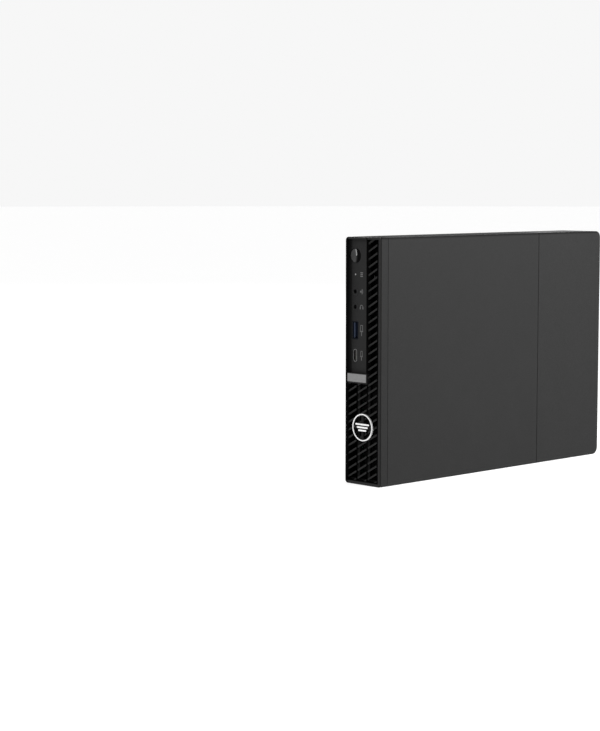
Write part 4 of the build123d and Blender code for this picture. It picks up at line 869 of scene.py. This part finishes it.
def card_parts(name, node, row, count):
    """Row of tiny parts along each card of a node; row is its distance from the far edge."""
    mesh = bmesh.new()
    for first, last in islands(node):
        for step in range(count):
            z = first.z + (last.z - first.z) * (step + 0.7) / (count + 0.4)
            face = last.x - (1.0 if "memory" in node else 1.2) * MM
            slab(mesh, (face, face + 0.45 * MM), about(last.y - row, 0.6 * MM), about(z, 1.1 * MM), 0.06 * MM)
    piece(name, mesh, "case", CERAMIC_TAN)


def coil_tops():
    """Copper winding ends showing at the sides of the converter coils."""
    mesh = bmesh.new()
    for first, last in islands("power_coils"):
        xs, ys = (first.x, first.x + 1.4 * MM), about((first.y + last.y) / 2, 4.4 * MM)
        for z in (first.z, last.z):
            slab(mesh, xs, ys, about(z, 0.5 * MM), 0.1 * MM)
    piece("coil_ends", mesh, "case", COPPER)


def can_tops():
    """Dark polarity marks on the tops of the can capacitors."""
    marks = bmesh.new()
    for first, last in islands("power_capacitors"):
        middle = (first + last) / 2
        radius = (last.y - first.y) / 2
        outline = [(a * MM, b * MM) for a, b in arc((0, 0), radius / MM - 0.45, 20, 160, 14)]
        add_plate(marks, outline, (last.x, middle.y, middle.z), (0, 1, 0), (0, 0, 1), 0.05 * MM)
    piece("can_marks", marks, "case", MATERIALS["chip_black"])


def cell_mark():
    """Plus sign stamped on the coin cell, and its spring clip."""
    middle, top = centre("coin_cell"), high("coin_cell").x
    mesh = bmesh.new()
    for size in ((4.0, 0.9), (0.9, 4.0)):
        slab(mesh, (top, top + 0.05 * MM), about(middle.y, size[0] * MM), about(middle.z, size[1] * MM))
    clip_y = middle.y + 9.4 * MM
    slab(mesh, (top, top + 0.4 * MM), about(clip_y, 3.4 * MM), about(middle.z, 4.0 * MM), 0.12 * MM)
    piece("cell_clip", mesh, "case", MATERIALS["bright_steel"])


def chipset_die():
    """Raised die in the middle of the controller chip, with its ring of small parts."""
    middle, top = centre("chipset"), high("chipset").x
    die, parts = bmesh.new(), bmesh.new()
    slab(die, (top, top + 0.5 * MM), about(middle.y, 9 * MM), about(middle.z, 8 * MM), 0.1 * MM)
    for step in range(8):
        for side in (-1, 1):
            ys = about(middle.y + (step - 3.5) * 2.4 * MM, 1.1 * MM)
            slab(parts, (top, top + 0.4 * MM), ys, about(middle.z + side * 8.5 * MM, 0.6 * MM))
    piece("chipset_die", die, "case", MATERIALS["lid_metal"])
    piece("chipset_parts", parts, "case", CERAMIC_TAN)


# ---------------------------------------------------------------- drive, fan and heatsink details

def drive_lid():
    """Pressed lid of the drive with its screws, spindle ring and blank label."""
    first, last = low("hard_drive"), high("hard_drive")
    top = last.x
    lid, screws, label = bmesh.new(), bmesh.new(), bmesh.new()
    inset, rise = 3.0 * MM, 0.35 * MM
    corner = 4.0
    half_y, half_z = (last.y - first.y) / 2 - inset, (last.z - first.z) / 2 - inset
    middle = (first + last) / 2
    turns = ((1, 1, 0), (-1, 1, 90), (-1, -1, 180), (1, -1, 270))
    outline = []
    for side_y, side_z, turn in turns:
        spot = (side_y * (half_y / MM - corner), side_z * (half_z / MM - corner))
        outline += [(a * MM, b * MM) for a, b in arc(spot, corner, turn, turn + 90, 8)]
    add_plate(lid, outline, (top, middle.y, middle.z), (0, 1, 0), (0, 0, 1), rise)
    spindle = (top + rise, first.y + 36 * MM, middle.z)
    ring = [(14.0, 0.0), (14.3, 0.2), (15.3, 0.2), (15.6, 0.0)]
    add_lathe(lid, spindle, (1, 0, 0), [(radius * MM, lift * MM) for radius, lift in ring], 64)
    for side_y in (-1, 0, 1):
        for side_z in (-1, 1):
            y = middle.y + side_y * (half_y - 3 * MM)
            z = middle.z + side_z * (half_z - 3 * MM)
            head = [(1.7, 0.0), (1.7, 0.25), (1.4, 0.4), (0.6, 0.4), (0.5, 0.15), (0.0, 0.15)]
            profile = [(radius * MM, lift * MM) for radius, lift in head]
            add_lathe(screws, (top + rise, y, z), (1, 0, 0), profile, 20)
    label_ys = (middle.y - 2 * MM, middle.y + half_y - 8 * MM)
    slab(label, (top + rise, top + rise + 0.08 * MM), label_ys, about(middle.z, 46 * MM), 0.03 * MM)
    piece("drive_lid", lid, "case", MATERIALS["drive_metal"])
    piece("drive_lid_screws", screws, "case", MATERIALS["screw_black"])
    piece("drive_label", label, "case", PAPER_WHITE)


HUB_DISC = [(0.0, 0.25), (8.2, 0.25), (9.4, 0.2), (9.8, 0.0)]
INTAKE_BEAD = [(24.0, 0.0), (24.2, 0.4), (25.0, 0.6), (25.8, 0.4), (26.2, 0.0)]


def fan_details():
    """Disc on the fan's hub, and a moulded bead round the housing's intake."""
    middle = centre("fan_rotor")
    hub_top = low("fan_rotor").x + 14.2 * MM
    disc = bmesh.new()
    profile = [(radius * MM, lift * MM) for radius, lift in HUB_DISC]
    add_lathe(disc, (hub_top, middle.y, middle.z), (1, 0, 0), profile, 64)
    piece("fan_hub_disc", disc, "fan", MATERIALS["drive_metal"], smooth=True)
    bead = bmesh.new()
    top = high("fan_housing").x
    profile = [(radius * MM, lift * MM) for radius, lift in INTAKE_BEAD]
    add_lathe(bead, (top, middle.y, middle.z), (1, 0, 0), profile, 96)
    first, last = low("fan_housing"), high("fan_housing")
    for z in (first.z + 2 * MM, last.z - 2 * MM):
        slab(bead, (top, top + 0.5 * MM), (first.y + 9 * MM, last.y - 9 * MM), about(z, 1.0 * MM), 0.2 * MM)
    piece("fan_bead", bead, "case", MATERIALS["black_plastic"])


def heat_pipes():
    """Two flattened copper pipes let into the heatsink's base between its fins and edges."""
    first, last = low("heatsink"), high("heatsink")
    mesh = bmesh.new()
    base_top = first.x + 2.6 * MM
    ys = (first.y + 11 * MM, last.y - 11 * MM)
    for z in (first.z + 6.6 * MM, last.z - 6.6 * MM):
        slab(mesh, (base_top, base_top + 0.9 * MM), ys, about(z, 3.2 * MM), 0.4 * MM)
    piece("heat_pipes", mesh, "case", COPPER)


def make_details():
    """Every piece that Blender adds to the CAD model."""
    front_prints()
    jack_fittings("headset_jack")
    jack_fittings("line_out_jack")
    front_contacts()
    rear_contacts()
    network_details()
    display_contacts()
    cover_hooks()
    hood_ribs()
    exit_rim()
    base_details()
    boxes = covered_boxes()
    leaded_chips(boxes)
    pin_header(boxes)
    scattered_parts(boxes)
    mount_pads()
    card_parts("memory_parts", "memory_modules", 4.0 * MM, 22)
    card_parts("storage_parts", "storage_card", 1.2 * MM, 16)
    coil_tops()
    can_tops()
    cell_mark()
    chipset_die()
    drive_lid()
    fan_details()
    heat_pipes()


# ---------------------------------------------------------------- floor, light and camera

def make_camera():
    """Camera at its fitted place and angle, with no shift."""
    data = bpy.data.cameras.new("camera")
    data.lens = CAMERA_LENS
    data.sensor_width = SENSOR
    data.clip_start = 0.01
    camera = bpy.data.objects.new("camera", data)
    bpy.context.collection.objects.link(camera)
    camera.location = CAMERA_PLACE
    camera.rotation_euler = (math.radians(90 + CAMERA_TILT), 0.0, math.radians(CAMERA_TURN))
    bpy.context.scene.camera = camera


FLOOR_GLOW = 0.78
BACKDROP = 0.93
FILL = 0.6


def make_floor():
    """Plain floor of grey paint, which its own glow makes pale and which lights the part from below."""
    mesh = bmesh.new()
    bmesh.ops.create_circle(mesh, cap_ends=True, segments=64, radius=14.0)
    data = bpy.data.meshes.new("floor")
    mesh.to_mesh(data)
    mesh.free()
    floor = bpy.data.objects.new("floor", data)
    bpy.context.collection.objects.link(floor)
    paint = textured("floor_paint", grey(0.3), 0.8, 300.0, 0.00001, 0.01, specular=0.1)
    paint.node_tree.nodes["Principled BSDF"].inputs["Emission Color"].default_value = grey(1.0)
    paint.node_tree.nodes["Principled BSDF"].inputs["Emission Strength"].default_value = FLOOR_GLOW
    data.materials.append(paint)


def area_light(name, place, target, size, power):
    """Soft square light that points at a target."""
    data = bpy.data.lights.new(name, "AREA")
    data.shape = "SQUARE"
    data.size = size
    data.energy = power
    light = bpy.data.objects.new(name, data)
    bpy.context.collection.objects.link(light)
    light.location = place
    light.rotation_mode = "QUATERNION"
    light.rotation_quaternion = (Vector(target) - Vector(place)).to_track_quat("-Z", "Y")


LAMPS = [
    ("key", (1.6, 0.2, 1.5), (0.0, 0.0, 0.1), 1.6, 6.0),
    ("top_key", (0.38, 0.08, 0.54), (0.0, 0.0, 0.15), 0.35, 6.0),
    ("front_fill", (-0.9, -1.8, 1.1), (0.0, 0.0, 0.1), 1.2, 12.0),
    ("back_fill", (-1.4, 1.4, 1.2), (0.0, 0.0, 0.1), 1.4, 16.0),
]


def make_lights():
    """Four soft lamps and pale surroundings, which the camera sees brighter than they light the part."""
    world = bpy.data.worlds.new("world")
    bpy.context.scene.world = world
    world.use_nodes = True
    nodes, links = world.node_tree.nodes, world.node_tree.links
    backdrop = nodes["Background"]
    backdrop.inputs["Color"].default_value = grey(BACKDROP)
    fill = nodes.new("ShaderNodeBackground")
    fill.inputs["Color"].default_value = grey(FILL)
    path = nodes.new("ShaderNodeLightPath")
    mix = nodes.new("ShaderNodeMixShader")
    links.new(path.outputs["Is Camera Ray"], mix.inputs["Fac"])
    links.new(fill.outputs["Background"], mix.inputs[1])
    links.new(backdrop.outputs["Background"], mix.inputs[2])
    links.new(mix.outputs["Shader"], nodes["World Output"].inputs["Surface"])
    for name, place, target, size, power in LAMPS:
        area_light(name, place, target, size, power)
    bpy.context.scene.view_settings.view_transform = "Standard"


make_camera()
make_floor()
make_lights()
dress_cad_nodes()
make_details()
